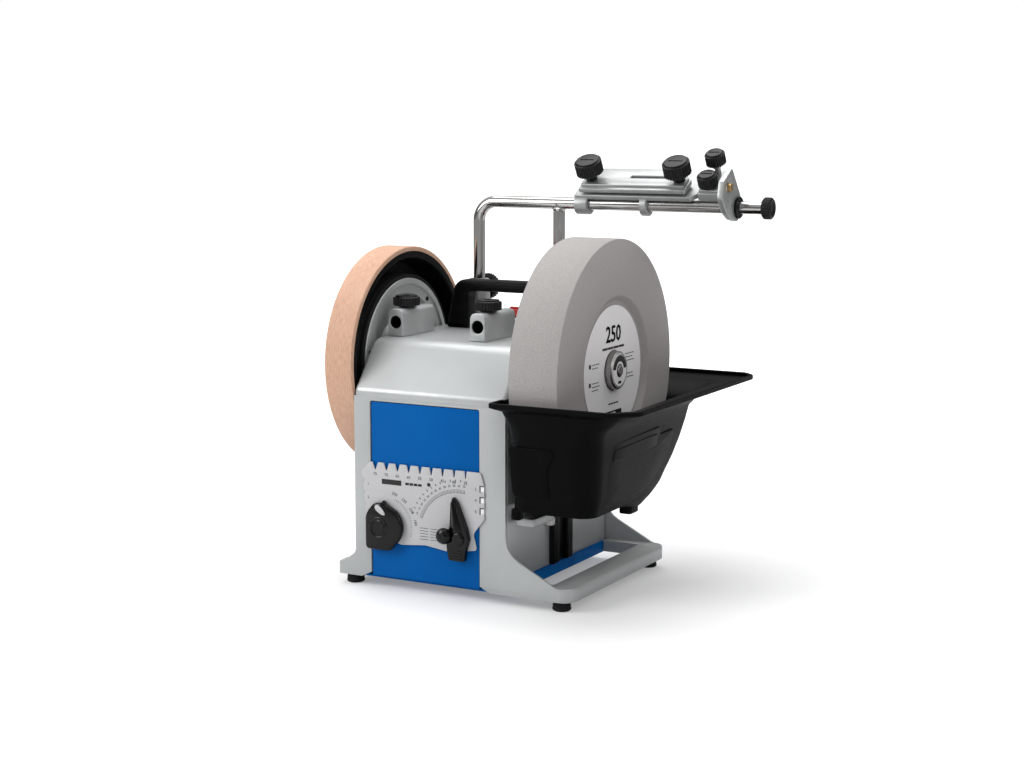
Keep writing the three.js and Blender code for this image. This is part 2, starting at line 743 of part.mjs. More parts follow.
function waterTrough() {
  const rimFloor = troughRimZ - troughLip;
  const shelf = join(
    prism('z', rimPoints(0), rimFloor - 1, troughRimZ),
    bowl(0, rimFloor),
  );
  return cut(shelf,
    prism('z', rimPoints(troughWall), rimFloor + troughWall - 1, troughRimZ + overrun),
    bowl(troughWall, rimFloor + troughWall + 1));
}

add('water_trough', waterTrough(), 'black');

// Lift: a grooved guide column on the side wall, a bracket whose shoe slides in
// the groove and whose arm carries the trough, and the knurled nut that locks it.
const columnX = [housingRight + gap, housingRight + gap + columnDepth];
const columnBottom = housingBottom + sheet + panFlange + gap;
const grooveFloorX = columnX[0] + 1.5;
add('guide_column', cut(
  block(columnX, [-columnWidth / 2, columnWidth / 2], [columnBottom, columnTop]),
  block([grooveFloorX, columnX[1] + overrun], [-columnGroove / 2, columnGroove / 2],
    [columnBottom + 5, columnTop + overrun]),
), 'black');

const armZ = [bowlFloorZ - gap - bracketHeight, bowlFloorZ - gap];
const armLeft = columnX[1] + gap;
const shoeHalf = columnGroove / 2 - gap;
const lockX = armLeft + 8;
const lockY = -48;
add('lift_bracket', cut(
  join(
    block([grooveFloorX + gap, bowlLeftX - gap], [-shoeHalf, shoeHalf],
      [armZ[0], armZ[0] + shoeHeight]),
    block([grooveFloorX + gap, armLeft + 2], [-shoeHalf, shoeHalf], armZ),
    block([armLeft, armLeft + 20], [-100, shoeHalf], armZ),
  ),
  rod('z', liftNutStud + gap, armZ[0] - overrun, armZ[0] + 6, [lockX, lockY, 0], 12),
), 'castAluminium');
add('lift_nut', join(
  rod('z', liftNutStud, armZ[0] - gap - 1, armZ[0] + 5, [lockX, lockY, 0], 12),
  grip('z', liftNutRadius, armZ[0] - gap - liftNutHeight, armZ[0] - gap,
    [lockX, lockY, 0], 12, 0.5),
), 'steel');

// ---------------------------------------------------------------- angle gauge

const gaugeY = [housingFront - gap - gaugeThickness, housingFront - gap];
const dialX = gaugeLeftX + 28;
const dialZ = gaugeTopZ - 61;
const pointerX = gaugeRightX - 27;
const pointerZ = gaugeTopZ - 64;

function gaugePlate() {
  const left = gaugeLeftX;
  const right = gaugeRightX;
  const top = gaugeTopZ;
  const bottom = gaugeTopZ - gaugeHeight;
  const plate = prism('y', outline([
    [left + 10, top], [right - 4, top], [right, top - 2.5], [right, top - 44],
    [right - 12, top - 59], [right - 8, bottom + 4.5], [right - 39, bottom],
    [left + 70, bottom + 2.5], [left + 45, bottom + 1], [left + 14, top - 70],
    [left + 5, top - 53], [left, top - 9.5],
  ]), ...gaugeY);
  const across = [gaugeY[0] - 1, gaugeY[1] + 1];
  const notches = [];
  const pitch = 12.5;
  for (let i = 0; i < gaugeNotches; i += 1) {
    const x = left + 16 + pitch * i;
    const half = 3.2 - 0.25 * i;
    notches.push(prism('y', outline([
      [x - half, top + 1], [x - 0.4, top - 7], [x + 0.4, top - 7], [x + half, top + 1],
    ]), ...across));
  }
  for (let i = 0; i < 3; i += 1) {
    const z = top - 13 - 10.5 * i;
    notches.push(block([right - 4, right + overrun], across, [z - 5.5, z]));
  }
  return cut(plate, ...notches);
}

function dialOutline() {
  const flat = dialX - dialRadius;
  const right = dialX + dialRadius;
  const point = [dialX - 1, dialZ + dialRadius + 5];
  const foot = dialZ - dialRadius - 3;
  const shape = new THREE.Shape();
  shape.moveTo(flat, foot);
  shape.lineTo(dialX, foot);
  shape.quadraticCurveTo(right, foot, right, dialZ);
  shape.quadraticCurveTo(right, point[1] - 5, point[0] + 4, point[1] - 3);
  shape.lineTo(...point);
  shape.lineTo(point[0] - 4, point[1] - 3);
  shape.quadraticCurveTo(flat, point[1] - 5, flat, dialZ);
  return shape;
}

function pointerBody() {
  const [x, z] = [pointerX, pointerZ];
  const tip = z + pointerLength;
  const body = prism('y', outline([
    [x - 10, z + 6], [x - 12, z], [x - 11, z - 14], [x - 9, z - 22], [x + 7, z - 22],
    [x + 10, z - 14], [x + 14, z], [x + 12, z + 9], [x, tip - 2], [x - 3, tip],
    [x - 6, tip - 5], [x - 8, z + 12],
  ]), gaugeY[0] - gap - pointerThickness, gaugeY[0] - gap);
  const ball = rod('y', 8, gaugeY[0] - pointerThickness - 8, gaugeY[0] - pointerThickness,
    [x - 12, 0, z + 2], 16);
  return join(body, ball);
}

add('gauge_plate', gaugePlate(), 'paper');
add('gauge_dial', prism('y', dialOutline(), gaugeY[0] - gap - dialThickness, gaugeY[0] - gap),
  'black');
add('gauge_pointer', pointerBody(), 'black');

// ---------------------------------------------------------------- jig

// The jig is drawn level in its own group: its x is the bar's axis, -y points
// along the tool towards the grindstone and z is square to the jaws.
const jig = new THREE.Group();
jig.position.set(0, legY, barZ);
jig.rotation.x = jigTilt * Math.PI / 180;
sharpener.add(jig);

const jawTop = jawFloor + jawThickness;
const clampFloor = jawTop + jawOpening;
const clampTop = clampFloor + clampThickness;
const jawY = [0, jigDepth];
const knobY = 11;
const studX = [clampLeft + clampKnobInset, clampRight - clampKnobInset];
const studHole = studRadius + gap;
const headLeft = 51.5;
const farKnob = [61, 34, 27];
const nearKnob = [61, 8, 19];
const adjustHoles = [farKnob, nearKnob].map(([x, y, z]) => rod(
  'z', studHole, jawFloor + 3, z + overrun, [x, y, 0], 12));

function endPlateOutline() {
  return outline([
    [-18, 40], [6, 40.6], [12, 6], [4, -11], [-6, -11.4], [-18, -2], [-26, 10.6], [-29, 28],
  ]);
}

function jigBody() {
  const lowerJaw = prism('z', outline([
    [jigLeft, jawFront], [44, jawFront], [52, 6], [52, jigDepth], [2, jigDepth + 1], [jigLeft + 30, jigDepth],
    [jigLeft + 23, 14], [jigLeft, 14],
  ]), jawFloor, jawTop);
  const head = join(
    block([headLeft, jigRight - endPlate + 0.5], [-2, 14], [jawFloor, headTop]),
    block([headLeft, headLeft + 20], [13, jigDepth + 7], [jawFloor, headTop]),
  );
  const collarX = [jigLeft, jigLeft + collarLength];
  const hookX = [-9, -2];
  const plateX = [jigRight - endPlate, jigRight];
  const solid = join(
    lowerJaw, head,
    rod('x', collarRadius, ...collarX),
    block(collarX, [-6, 6], [0, jawFloor + 1]),
    rod('x', collarRadius, ...hookX),
    block(hookX, [-5, 5], [0, jawFloor + 1]),
    prism('x', endPlateOutline(), ...plateX),
  );
  return cut(solid,
    rod('x', barBore, jigLeft - overrun, jigRight + overrun, [0, 0, 0], 16),
    rod('x', barBore + 3, plateX[0] - overrun, plateX[1] + overrun),
    ...studX.map((x) => rod('z', studHole, 0, jawTop + overrun, [x, knobY, 0], 12)),
    ...adjustHoles);
}

add('jig_body', jigBody(), 'castAluminium', jig);
add('jig_bushing', turned('x', [
  [barBore, jigRight - endPlate], [barBore + 3 - gap, jigRight - endPlate],
  [barBore + 3 - gap, jigRight + gap], [collarRadius, jigRight + gap],
  [collarRadius, jigRight + 2.5], [barBore, jigRight + 2.5], [barBore, jigRight - endPlate],
]), 'black', jig);

add('jig_clamp_plate', cut(
  prism('z', outline([
    [clampLeft, clampFront], [clampRight, clampFront], [clampRight, 17], [4, jigDepth], [clampLeft + 15, jigDepth],
    [clampLeft, 17],
  ]), clampFloor, clampTop),
  block([-24, 22], [14, 20], [clampFloor - overrun, clampTop + overrun]),
  ...studX.map((x) => rod('z', studHole, clampFloor - overrun, clampTop + overrun,
    [x, knobY, 0], 12)),
), 'castAluminium', jig);

function studKnob(radius, height, neck, seat, studEnd, centre, ribs) {
  return join(
    rod('z', studRadius, studEnd, seat + 1, centre, 12),
    rod('z', radius * 0.42, seat + gap, seat + neck + 0.5, centre, 16),
    grip('z', radius, seat + neck, seat + neck + height, centre, ribs),
  );
}

sideNames.forEach((side, i) => {
  add(`${side}_clamp_knob`, studKnob(clampKnobRadius, clampKnobHeight, clampNeck, clampTop,
    jawFloor + 1, [studX[i], knobY, 0], 14), 'black', jig);
});
const adjustKnob = ([x, y, z]) => studKnob(adjustKnobRadius, adjustKnobHeight, 3, z - 3,
  jawFloor + 4, [x, y, 0], 12);
add('far_adjust_knob', adjustKnob(farKnob), 'black', jig);
add('near_adjust_knob', adjustKnob(nearKnob), 'black', jig);
add('stop_screw', join(
  rod('x', 4, jigRight + gap, jigRight + 4, [0, -12, 30], 12),
), 'bronze', jig);
add('jig_lock_knob', join(
  rod('y', 4, collarRadius + gap, 18, [jigLeft + collarLength / 2, 0, 0], 12),
  grip('y', jigLockRadius, 17, 17 + lockKnobLength, [jigLeft + collarLength / 2, 0, 0]),
), 'black', jig);

// ---------------------------------------------------------------- reference point

sharpener.updateMatrixWorld(true);
const bounds = new THREE.Box3().setFromObject(sharpener, true);
const centre = bounds.getCenter(new THREE.Vector3());
sharpener.position.set(-centre.x, -centre.y, -bounds.min.z);

export default sharpener;
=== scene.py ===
"""Looks of the wet grinding sharpener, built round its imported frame.

Sizes are millimetres in the machine's own layout: the origin is the middle of the
grindstone's right face on the main shaft, +X runs along the shaft to the right,
the front faces -Y and +Z is up. Each piece is moved to the frame's place at the end.
"""
import math

import bmesh
import bpy
from mathutils import Matrix, Vector


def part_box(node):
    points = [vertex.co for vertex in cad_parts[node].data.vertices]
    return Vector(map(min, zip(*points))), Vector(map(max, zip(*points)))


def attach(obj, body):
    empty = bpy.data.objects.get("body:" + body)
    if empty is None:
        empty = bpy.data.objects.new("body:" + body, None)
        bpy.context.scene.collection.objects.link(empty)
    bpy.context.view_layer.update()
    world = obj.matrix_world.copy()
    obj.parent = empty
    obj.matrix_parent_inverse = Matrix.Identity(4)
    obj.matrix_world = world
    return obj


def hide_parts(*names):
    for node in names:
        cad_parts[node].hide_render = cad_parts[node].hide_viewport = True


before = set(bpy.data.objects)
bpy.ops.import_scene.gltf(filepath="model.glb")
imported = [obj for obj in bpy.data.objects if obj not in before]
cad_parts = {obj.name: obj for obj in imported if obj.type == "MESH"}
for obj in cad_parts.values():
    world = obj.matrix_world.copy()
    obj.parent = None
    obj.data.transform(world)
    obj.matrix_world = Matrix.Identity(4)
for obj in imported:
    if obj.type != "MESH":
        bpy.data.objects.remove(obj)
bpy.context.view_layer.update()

stone_low, stone_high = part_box("grindstone")
shaft = Vector((stone_high[0], (stone_low[1] + stone_high[1]) / 2, (stone_low[2] + stone_high[2]) / 2))
PLACE = Matrix.Translation(shaft) @ Matrix.Scale(0.001, 4)

# ------------------------------------------------------------------ machine sizes

HOUSING_LEFT, HOUSING_RIGHT, HALF_DEPTH = -228.0, -62.0, 108.0
HOUSING_TOP, HOUSING_BOTTOM, SEAM_Z = 26.0, -203.5, -26.0
SLANT_FOOT_Z, SLANT_TOP_Y = -20.0, 72.0
BASE_RIGHT, BASE_LEFT, BASE_TOP, BASE_CORNER = 6.0, -247.0, -190.5, 14.0
PANEL_X, PANEL_Z = (-210.0, -89.5), (-201.0, -30.0)
LEG_X, LEG_Y, BAR_Z, BAR_END, LEG_BOTTOM = (-193.0, -101.0), 75.0, 153.0, 116.0, -50.0
SLEEVE_X = (-213.0, -121.0)
WALL_END = 103.9          # the side walls and base bars stop this far from the middle
WHEEL_LEFT, WHEEL_RIGHT, WHEEL_RADIUS = -260.5, -229.5, 110.0
STONE_RADIUS, STONE_WIDTH = 125.0, 50.0
BORE = 6.35               # holes that the 12 mm bar and shaft pass through
STUDS = [(-64, 11), (30, 11)]
GAUGE_Y, GAUGE_LEFT, GAUGE_RIGHT, GAUGE_TOP = -109.8, -219.5, -83.5, -89.0
JIG = Matrix.Translation((0, LEG_Y, BAR_Z)) @ Matrix.Rotation(math.radians(30), 4, "X")


# ------------------------------------------------------------------ node graphs

class Value:
    """A socket of a node graph that Python's operators turn into Math nodes."""

    def __init__(self, graph, socket):
        self.graph, self.socket = graph, socket

    def math(self, operation, *others, first=None):
        values = (self, *others) if first is None else (first, self)
        return self.graph.node("ShaderNodeMath", {"operation": operation}, dict(enumerate(values)))

    def __add__(self, other): return self.math("ADD", other)
    def __radd__(self, other): return self.math("ADD", first=other)
    def __sub__(self, other): return self.math("SUBTRACT", other)
    def __rsub__(self, other): return self.math("SUBTRACT", first=other)
    def __mul__(self, other): return self.math("MULTIPLY", other)
    def __rmul__(self, other): return self.math("MULTIPLY", first=other)
    def __truediv__(self, other): return self.math("DIVIDE", other)
    def __pow__(self, other): return self.math("POWER", other)

    def between(self, low, high):
        """0 below low, 1 above high and smooth from one to the other."""
        return self.graph.node("ShaderNodeMapRange", {"interpolation_type": "SMOOTHSTEP"},
                               {"Value": self, "From Min": low, "From Max": high})


class Graph:
    """A shader or geometry node tree that is written as expressions."""

    def __init__(self, tree):
        self.tree = tree

    def node(self, kind, settings=None, inputs=None, out=0):
        made = self.tree.nodes.new(kind)
        for key, value in (settings or {}).items():
            setattr(made, key, value)
        for key, value in (inputs or {}).items():
            if isinstance(value, Value):
                self.tree.links.new(value.socket, made.inputs[key])
            else:
                made.inputs[key].default_value = value
        return Value(self, made.outputs[out])

    def mix(self, factor, a, b):
        rgba = [(*c, 1.0) if isinstance(c, tuple) else c for c in (a, b)]
        return self.node("ShaderNodeMix", {"data_type": "RGBA"}, {0: factor, 6: rgba[0], 7: rgba[1]}, 2)

    def vector(self, x, y, z):
        return self.node("ShaderNodeCombineXYZ", None, {0: x, 1: y, 2: z})


class Finish(Graph):
    """A material with one Principled shader, its patterns read in object space."""

    def __init__(self, name, **constants):
        self.material = bpy.data.materials.new(name)
        self.material.use_nodes = True
        super().__init__(self.material.node_tree)
        self.tree.nodes.clear()
        self.shader = self.node("ShaderNodeBsdfPrincipled", None, {
            key.replace("_", " ").title().replace("Ior", "IOR"): value for key, value in constants.items()})
        output = self.tree.nodes.new("ShaderNodeOutputMaterial")
        self.tree.links.new(self.shader.socket, output.inputs["Surface"])
        self.place = self.node("ShaderNodeTexCoord", out="Object")

    def set(self, **links):
        principled = self.shader.socket.node
        for key, value in links.items():
            socket = principled.inputs[key.replace("_", " ").title()]
            if isinstance(value, Value):
                self.tree.links.new(value.socket, socket)
            else:
                socket.default_value = value
        return self

    def noise(self, scale, detail=2.0, at=None, rough=0.5):
        return self.node("ShaderNodeTexNoise", None, {
            "Vector": at or self.place, "Scale": scale, "Detail": detail, "Roughness": rough})

    def xyz(self):
        parts = self.node("ShaderNodeSeparateXYZ", None, {0: self.place}).socket.node
        return [Value(self, parts.outputs[i]) for i in range(3)]

    def round_shaft(self):
        """Place along the shaft, angle round it and distance from it."""
        x, y, z = self.xyz()
        y, z = y - shaft.y, z - shaft.z
        return x, y.math("ARCTAN2", z), (y * y + z * z) ** 0.5

    def edges(self):
        """1 on convex edges and 0 on flats. The finishes lighten these edges: partly wear, partly a painted edge
        highlight.
        """
        return self.node("ShaderNodeNewGeometry", out="Pointiness").between(0.53, 0.62)

    def bump(self, height, distance, strength=1.0, under=None):
        inputs = {"Height": height, "Distance": distance, "Strength": strength}
        if under:
            inputs["Normal"] = under
        return self.node("ShaderNodeBump", None, inputs)


def satin_paint(name, base, dark, rough, metallic, wear_and_edge_highlight, sheen=0.5):
    f = Finish(name, coat_roughness=0.25, metallic=metallic, specular_ior_level=sheen)
    cloud, peel, speck = f.noise(9, 3), f.noise(420, 2), f.noise(2600, 1)
    colour = f.mix(cloud.between(0.3, 0.75), dark, base)
    colour = f.mix(speck.between(0.45, 0.8) * 0.12, colour, wear_and_edge_highlight)
    # Convex edges lighten towards the pale wear colour: partly wear, partly a painted edge highlight.
    colour = f.mix(f.edges() * 0.35 * f.noise(60, 3).between(0.4, 0.6), colour, wear_and_edge_highlight)
    grime = f.noise(26, 4, rough=0.6).between(0.45, 0.8)
    return f.set(base_color=colour, roughness=rough + grime * 0.1 - f.edges() * 0.05,
                 coat_weight=sheen * 0.2,
                 normal=f.bump(peel + speck * 0.35, 0.00012, 0.35)).material


def moulded_plastic(name, base, rough, grain=2300, scuff_and_edge_highlight=(0.03, 0.03, 0.032), sheen=0.3):
    f = Finish(name, specular_ior_level=sheen)
    fine, broad = f.noise(grain, 2), f.noise(14, 3)
    scratch = f.noise(90, 4, rough=0.7).between(0.56, 0.72)
    # Scratches and convex edges lighten towards the scuff colour. The scratches are wear; the edges are partly wear
    # and partly a painted edge highlight.
    colour = f.mix(scratch * 0.16 + f.edges() * 0.5, base, scuff_and_edge_highlight)
    return f.set(base_color=colour, roughness=rough + broad * 0.12 + scratch * 0.06 - 0.05,
                 normal=f.bump(fine, 0.00012, 0.45)).material


def bare_metal(name, base, rough, stretch=(40.0, 1500.0, 1500.0), grain=0.25):
    f = Finish(name, metallic=1.0)
    x, y, z = f.xyz()
    lines = f.noise(1.0, 3, at=f.vector(x * stretch[0], y * stretch[1], z * stretch[2]))
    haze = f.noise(30, 3)
    dim = tuple(c * 0.72 for c in base)
    # Darker streaks along the stretch: brushing grain on steel and bronze. On the polished bar they are painted
    # reflection bands.
    colour = f.mix(lines * 0.5 + haze * 0.5, dim, base)
    return f.set(base_color=colour, roughness=rough + haze * 0.08 + lines * 0.08 - 0.06,
                 normal=f.bump(lines, 0.00004, grain)).material


def cast_metal(name, base, rough, metallic):
    f = Finish(name, metallic=metallic)
    blast, cloud = f.noise(1700, 2), f.noise(24, 3)
    colour = f.mix(cloud.between(0.3, 0.7), tuple(c * 0.86 for c in base), base)
    # Convex edges are brightened by a fifth: partly rubbed metal, partly a painted edge highlight.
    colour = f.mix(f.edges() * 0.5, colour, tuple(min(1.0, c * 1.2) for c in base))
    return f.set(base_color=colour, roughness=rough + blast * 0.12 - f.edges() * 0.08,
                 normal=f.bump(blast + f.noise(500, 2), 0.0001, 0.45)).material


def abrasive_stone():
    f = Finish("abrasive_stone", specular_ior_level=0.25)
    x, angle, radius = f.round_shaft()
    grit, fine = f.noise(1500, 2), f.noise(4200, 1)
    pits = f.node("ShaderNodeTexVoronoi", None, {"Vector": f.place, "Scale": 620.0}).between(0.05, 0.3)
    streak = f.noise(1.0, 3, at=f.vector(x * 260, angle * 5, radius * 260))
    colour = f.mix(grit.between(0.3, 0.72), (0.335, 0.317, 0.308), (0.45, 0.43, 0.42))
    colour = f.mix(fine.between(0.58, 0.75) * 0.5, colour, (0.64, 0.625, 0.62))
    colour = f.mix((1 - pits) * 0.35, colour, (0.25, 0.24, 0.235))
    colour = f.mix(streak.between(0.45, 0.7) * 0.14, colour, (0.36, 0.35, 0.345))
    return f.set(base_color=colour, roughness=0.86 + grit * 0.1,
                 normal=f.bump(grit + pits * 0.7 + fine * 0.4, 0.0003, 0.7)).material


def honing_leather():
    f = Finish("pale_leather", specular_ior_level=0.3)
    x, angle, radius = f.round_shaft()
    fibre = f.noise(1.0, 4, at=f.vector(x * 900, angle * 16, radius * 900), rough=0.7)
    nap, blotch = f.noise(1900, 3), f.noise(30, 3)
    colour = f.mix(fibre.between(0.25, 0.75), (0.53, 0.31, 0.21), (0.72, 0.46, 0.335))
    colour = f.mix(blotch.between(0.4, 0.75) * 0.35, colour, (0.75, 0.51, 0.385))
    seam = 1 - (angle - 2.2).math("ABSOLUTE").between(0.0015, 0.006)
    colour = f.mix(seam * 0.6, colour, (0.25, 0.13, 0.08))
    under = f.bump(nap, 0.0002, 0.5)
    return f.set(base_color=colour, roughness=0.72 + nap * 0.15,
                 normal=f.bump(fibre - seam, 0.0003, 0.6, under)).material


def printed_sheet(name, base, spot, rough):
    f = Finish(name)
    weave, spots = f.noise(1500, 2), f.noise(70, 4).between(0.6, 0.75)
    colour = f.mix(f.noise(12, 2) * 0.3 + spots * 0.12, base, spot)
    return f.set(base_color=colour, roughness=rough + weave * 0.12,
                 normal=f.bump(weave, 0.00004, 0.25)).material


def rubber(name, base):
    f = Finish(name, specular_ior_level=0.3)
    dust, fine = f.noise(120, 4).between(0.5, 0.75), f.noise(2600, 2)
    return f.set(base_color=f.mix(dust * 0.2, base, (0.04, 0.04, 0.04)), roughness=0.78 + dust * 0.15,
                 normal=f.bump(fine, 0.00015, 0.6)).material


SILVER = satin_paint("silver_paint", (0.50, 0.52, 0.52), (0.44, 0.46, 0.46), 0.36, 0.3, (0.64, 0.65, 0.65))
BLUE = satin_paint("blue_paint", (0.0, 0.115, 0.42), (0.0, 0.10, 0.37), 0.42, 0.0, (0.0, 0.18, 0.52), 0.06)
BLACK = moulded_plastic("black_plastic", (0.0022, 0.0022, 0.0025), 0.42, sheen=0.1)
TUB = moulded_plastic("tub_plastic", (0.0012, 0.0013, 0.0015), 0.42, 1500, (0.006, 0.006, 0.007), 0.06)
KNOB = moulded_plastic("knob_plastic", (0.0035, 0.0035, 0.004), 0.36, 3000, sheen=0.26)
GLOSS = moulded_plastic("gloss_plastic", (0.0012, 0.0012, 0.0014), 0.14, 3000, (0.006, 0.006, 0.006), 0.3)
# Its stretch lays the darker streaks along the legs as painted reflection bands.
CHROME = bare_metal("polished_bar", (0.62, 0.61, 0.60), 0.09, (300.0, 300.0, 60.0), grain=0.05)
STEEL = bare_metal("machined_steel", (0.46, 0.45, 0.44), 0.30)
CAST = cast_metal("cast_aluminium", (0.43, 0.44, 0.44), 0.33, 0.6)
DISC = cast_metal("drive_disc", (0.56, 0.58, 0.57), 0.42, 0.4)
BRONZE = bare_metal("bronze", (0.60, 0.38, 0.16), 0.30)
STONE = abrasive_stone()
LEATHER = honing_leather()
LABEL = printed_sheet("label_paper", (0.93, 0.91, 0.92), (0.87, 0.86, 0.87), 0.62)
SCALE = printed_sheet("gauge_face", (0.54, 0.54, 0.55), (0.49, 0.49, 0.505), 0.45)
INK_AND_STEP_SHADE = printed_sheet("printing_ink_and_step_shade", (0.006, 0.005, 0.006), (0.02, 0.02, 0.02), 0.5)
RUBBER = rubber("black_rubber", (0.006, 0.006, 0.006))
RED = moulded_plastic("red_plastic", (0.60, 0.01, 0.014), 0.26, 1800, (0.6, 0.08, 0.08), 0.45)


# ------------------------------------------------------------------ mesh tools

def rounded(points, default=0.0, steps=4):
    """A polygon's corners, each replaced by an arc. A point may carry its own radius."""
    out = []
    count = len(points)
    for i, point in enumerate(points):
        here = Vector(point[:2])
        before = Vector(points[i - 1][:2]) - here
        after = Vector(points[(i + 1) % count][:2]) - here
        radius = point[2] if len(point) > 2 else default
        spread = before.angle(after) if before.length and after.length else math.pi
        reach = radius / math.tan(spread / 2) if radius and spread < 3.1 else 0
        reach = min(reach, before.length * 0.49, after.length * 0.49)
        if reach < 1e-4:
            out.append(tuple(here))
            continue
        a, b = here + before.normalized() * reach, here + after.normalized() * reach
        for k in range(steps + 1):
            t = k / steps
            out.append(tuple(a * (1 - t) ** 2 + here * 2 * t * (1 - t) + b * t * t))
    return out


def circle(radius, centre=(0, 0), count=40):
    return [(centre[0] + radius * math.cos(math.tau * i / count),
             centre[1] + radius * math.sin(math.tau * i / count)) for i in range(count)]


def tidy(bm, name):
    """Merges doubles, turns faces outwards and returns the mesh."""
    bmesh.ops.remove_doubles(bm, verts=bm.verts, dist=SAME_POINT)
    bmesh.ops.recalc_face_normals(bm, faces=bm.faces)
    mesh = bpy.data.meshes.new(name)
    bm.to_mesh(mesh)
    bm.free()
    return mesh


def joined(*meshes):
    bm = bmesh.new()
    for mesh in meshes:
        bm.from_mesh(mesh)
    mesh = bpy.data.meshes.new("joined")
    bm.to_mesh(mesh)
    bm.free()
    return mesh


def moved(mesh, matrix):
    mesh.transform(matrix)
    return mesh


SAME_POINT = 1e-4
AXIS = {    # lays a flat outline square to an axis
    "x": Matrix(((0, 0, 1, 0), (1, 0, 0, 0), (0, 1, 0, 0), (0, 0, 0, 1))),
    "y": Matrix(((1, 0, 0, 0), (0, 0, -1, 0), (0, 1, 0, 0), (0, 0, 0, 1))),
    "z": Matrix.Identity(4),
}
TURNED = {    # lays a round body along an axis
    "x": Matrix.Rotation(math.pi / 2, 4, "Y"),
    "y": Matrix.Rotation(-math.pi / 2, 4, "X"),
    "z": Matrix.Identity(4),
}


def lathe(profile, axis="x", centre=(0, 0, 0), sides=64, soften=0.0):
    """Turns [radius, along] points about an axis. The profile is a closed loop."""
    points = rounded(profile, soften, 3)
    bm = bmesh.new()
    rings = []
    for radius, along in points:
        if radius < 1e-5:
            rings.append([bm.verts.new((0, 0, along))] * sides)
        else:
            rings.append([bm.verts.new((radius * math.cos(math.tau * i / sides),
                                        radius * math.sin(math.tau * i / sides), along))
                          for i in range(sides)])
    for a, b in zip(rings, rings[1:] + rings[:1]):
        for i in range(sides):
            j = (i + 1) % sides
            corners = []
            for v in (a[i], a[j], b[j], b[i]):
                if v not in corners:
                    corners.append(v)
            if len(corners) > 2:
                bm.faces.new(corners)
    return moved(tidy(bm, "lathe"), Matrix.Translation(centre) @ TURNED[axis])


def slab(axis, outline, low, high, edge=0.6, holes=(), bend=None, fine=0):
    """A flat plate with rounded edges and holes, square to an axis. Its outline is in
    (y, z) for x, in (x, z) for y and in (x, y) for z."""
    curve = bpy.data.curves.new("outline", "CURVE")
    curve.dimensions, curve.fill_mode = "2D", "BOTH"
    for loop in (outline, *holes):
        spline = curve.splines.new("POLY")
        spline.points.add(len(loop) - 1)
        for point, place in zip(spline.points, loop):
            point.co = (*place[:2], 0, 1)
        spline.use_cyclic_u = True
    half = (high - low) / 2
    edge = min(edge, half * 0.96)
    curve.extrude, curve.bevel_depth, curve.offset = half - edge, edge, -edge
    curve.bevel_resolution = 2
    temp = bpy.data.objects.new("outline", curve)
    mesh = bpy.data.meshes.new_from_object(temp)
    bpy.data.objects.remove(temp)
    mesh.transform(Matrix.Translation((0, 0, half)))
    bm = bmesh.new()
    bm.from_mesh(mesh)
    bmesh.ops.remove_doubles(bm, verts=bm.verts, dist=SAME_POINT)
    for _ in range(fine):
        bmesh.ops.subdivide_edges(bm, edges=[e for e in bm.edges if e.calc_length() > 6], cuts=1,
                                  use_grid_fill=True)
    if bend:
        for v in bm.verts:
            v.co = bend(v.co.x, v.co.y, v.co.z)
        return tidy(bm, "slab")
    shift = {"x": (low, 0, 0), "y": (0, high, 0), "z": (0, 0, low)}[axis]
    return moved(tidy(bm, "slab"), Matrix.Translation(shift) @ AXIS[axis])


def box(x, y, z, edge=0.6, corner=0.0):
    outline = rounded([(x[0], y[0]), (x[1], y[0]), (x[1], y[1]), (x[0], y[1])], corner)
    return slab("z", outline, z[0], z[1], edge)


def tube(points, radius, sides):
    """A round bar along a smooth path."""
    curve = bpy.data.curves.new("path", "CURVE")
    curve.dimensions, curve.bevel_depth, curve.bevel_resolution = "3D", radius, sides // 4
    curve.use_fill_caps = True
    spline = curve.splines.new("POLY")
    spline.points.add(len(points) - 1)
    for point, place in zip(spline.points, points):
        point.co = (*place, 1)
    temp = bpy.data.objects.new("path", curve)
    mesh = bpy.data.meshes.new_from_object(temp)
    bpy.data.objects.remove(temp)
    bm = bmesh.new()
    bm.from_mesh(mesh)
    return tidy(bm, "tube")


def loft(loops):
    """A capped skin through closed loops that have the same number of points."""
    bm = bmesh.new()
    rings = [[bm.verts.new(point) for point in loop] for loop in loops]
    for a, b in zip(rings, rings[1:]):
        for i in range(len(a)):
            j = (i + 1) % len(a)
            bm.faces.new((a[i], a[j], b[j], b[i]))
    bm.faces.new(rings[0])
    bm.faces.new(rings[-1])
    return tidy(bm, "loft")


def piece(name, mesh, body, material, replaces=(), sharp=32, at=None):
    """Puts a mesh in the machine's place and lets it ride on its body."""
    if at is not None:
        mesh.transform(at)
    mesh.transform(PLACE)
    mesh.materials.clear()
    mesh.materials.append(material)
    for polygon in mesh.polygons:
        polygon.material_index = 0
        polygon.use_smooth = True
    mesh.set_sharp_from_angle(angle=math.radians(sharp))
    made = bpy.data.objects.new(name, mesh)
    mesh.name = name
    bpy.context.scene.collection.objects.link(made)
    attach(made, body)
    if replaces:
        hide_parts(*replaces)
    return made


# ------------------------------------------------------------------ repeated parts

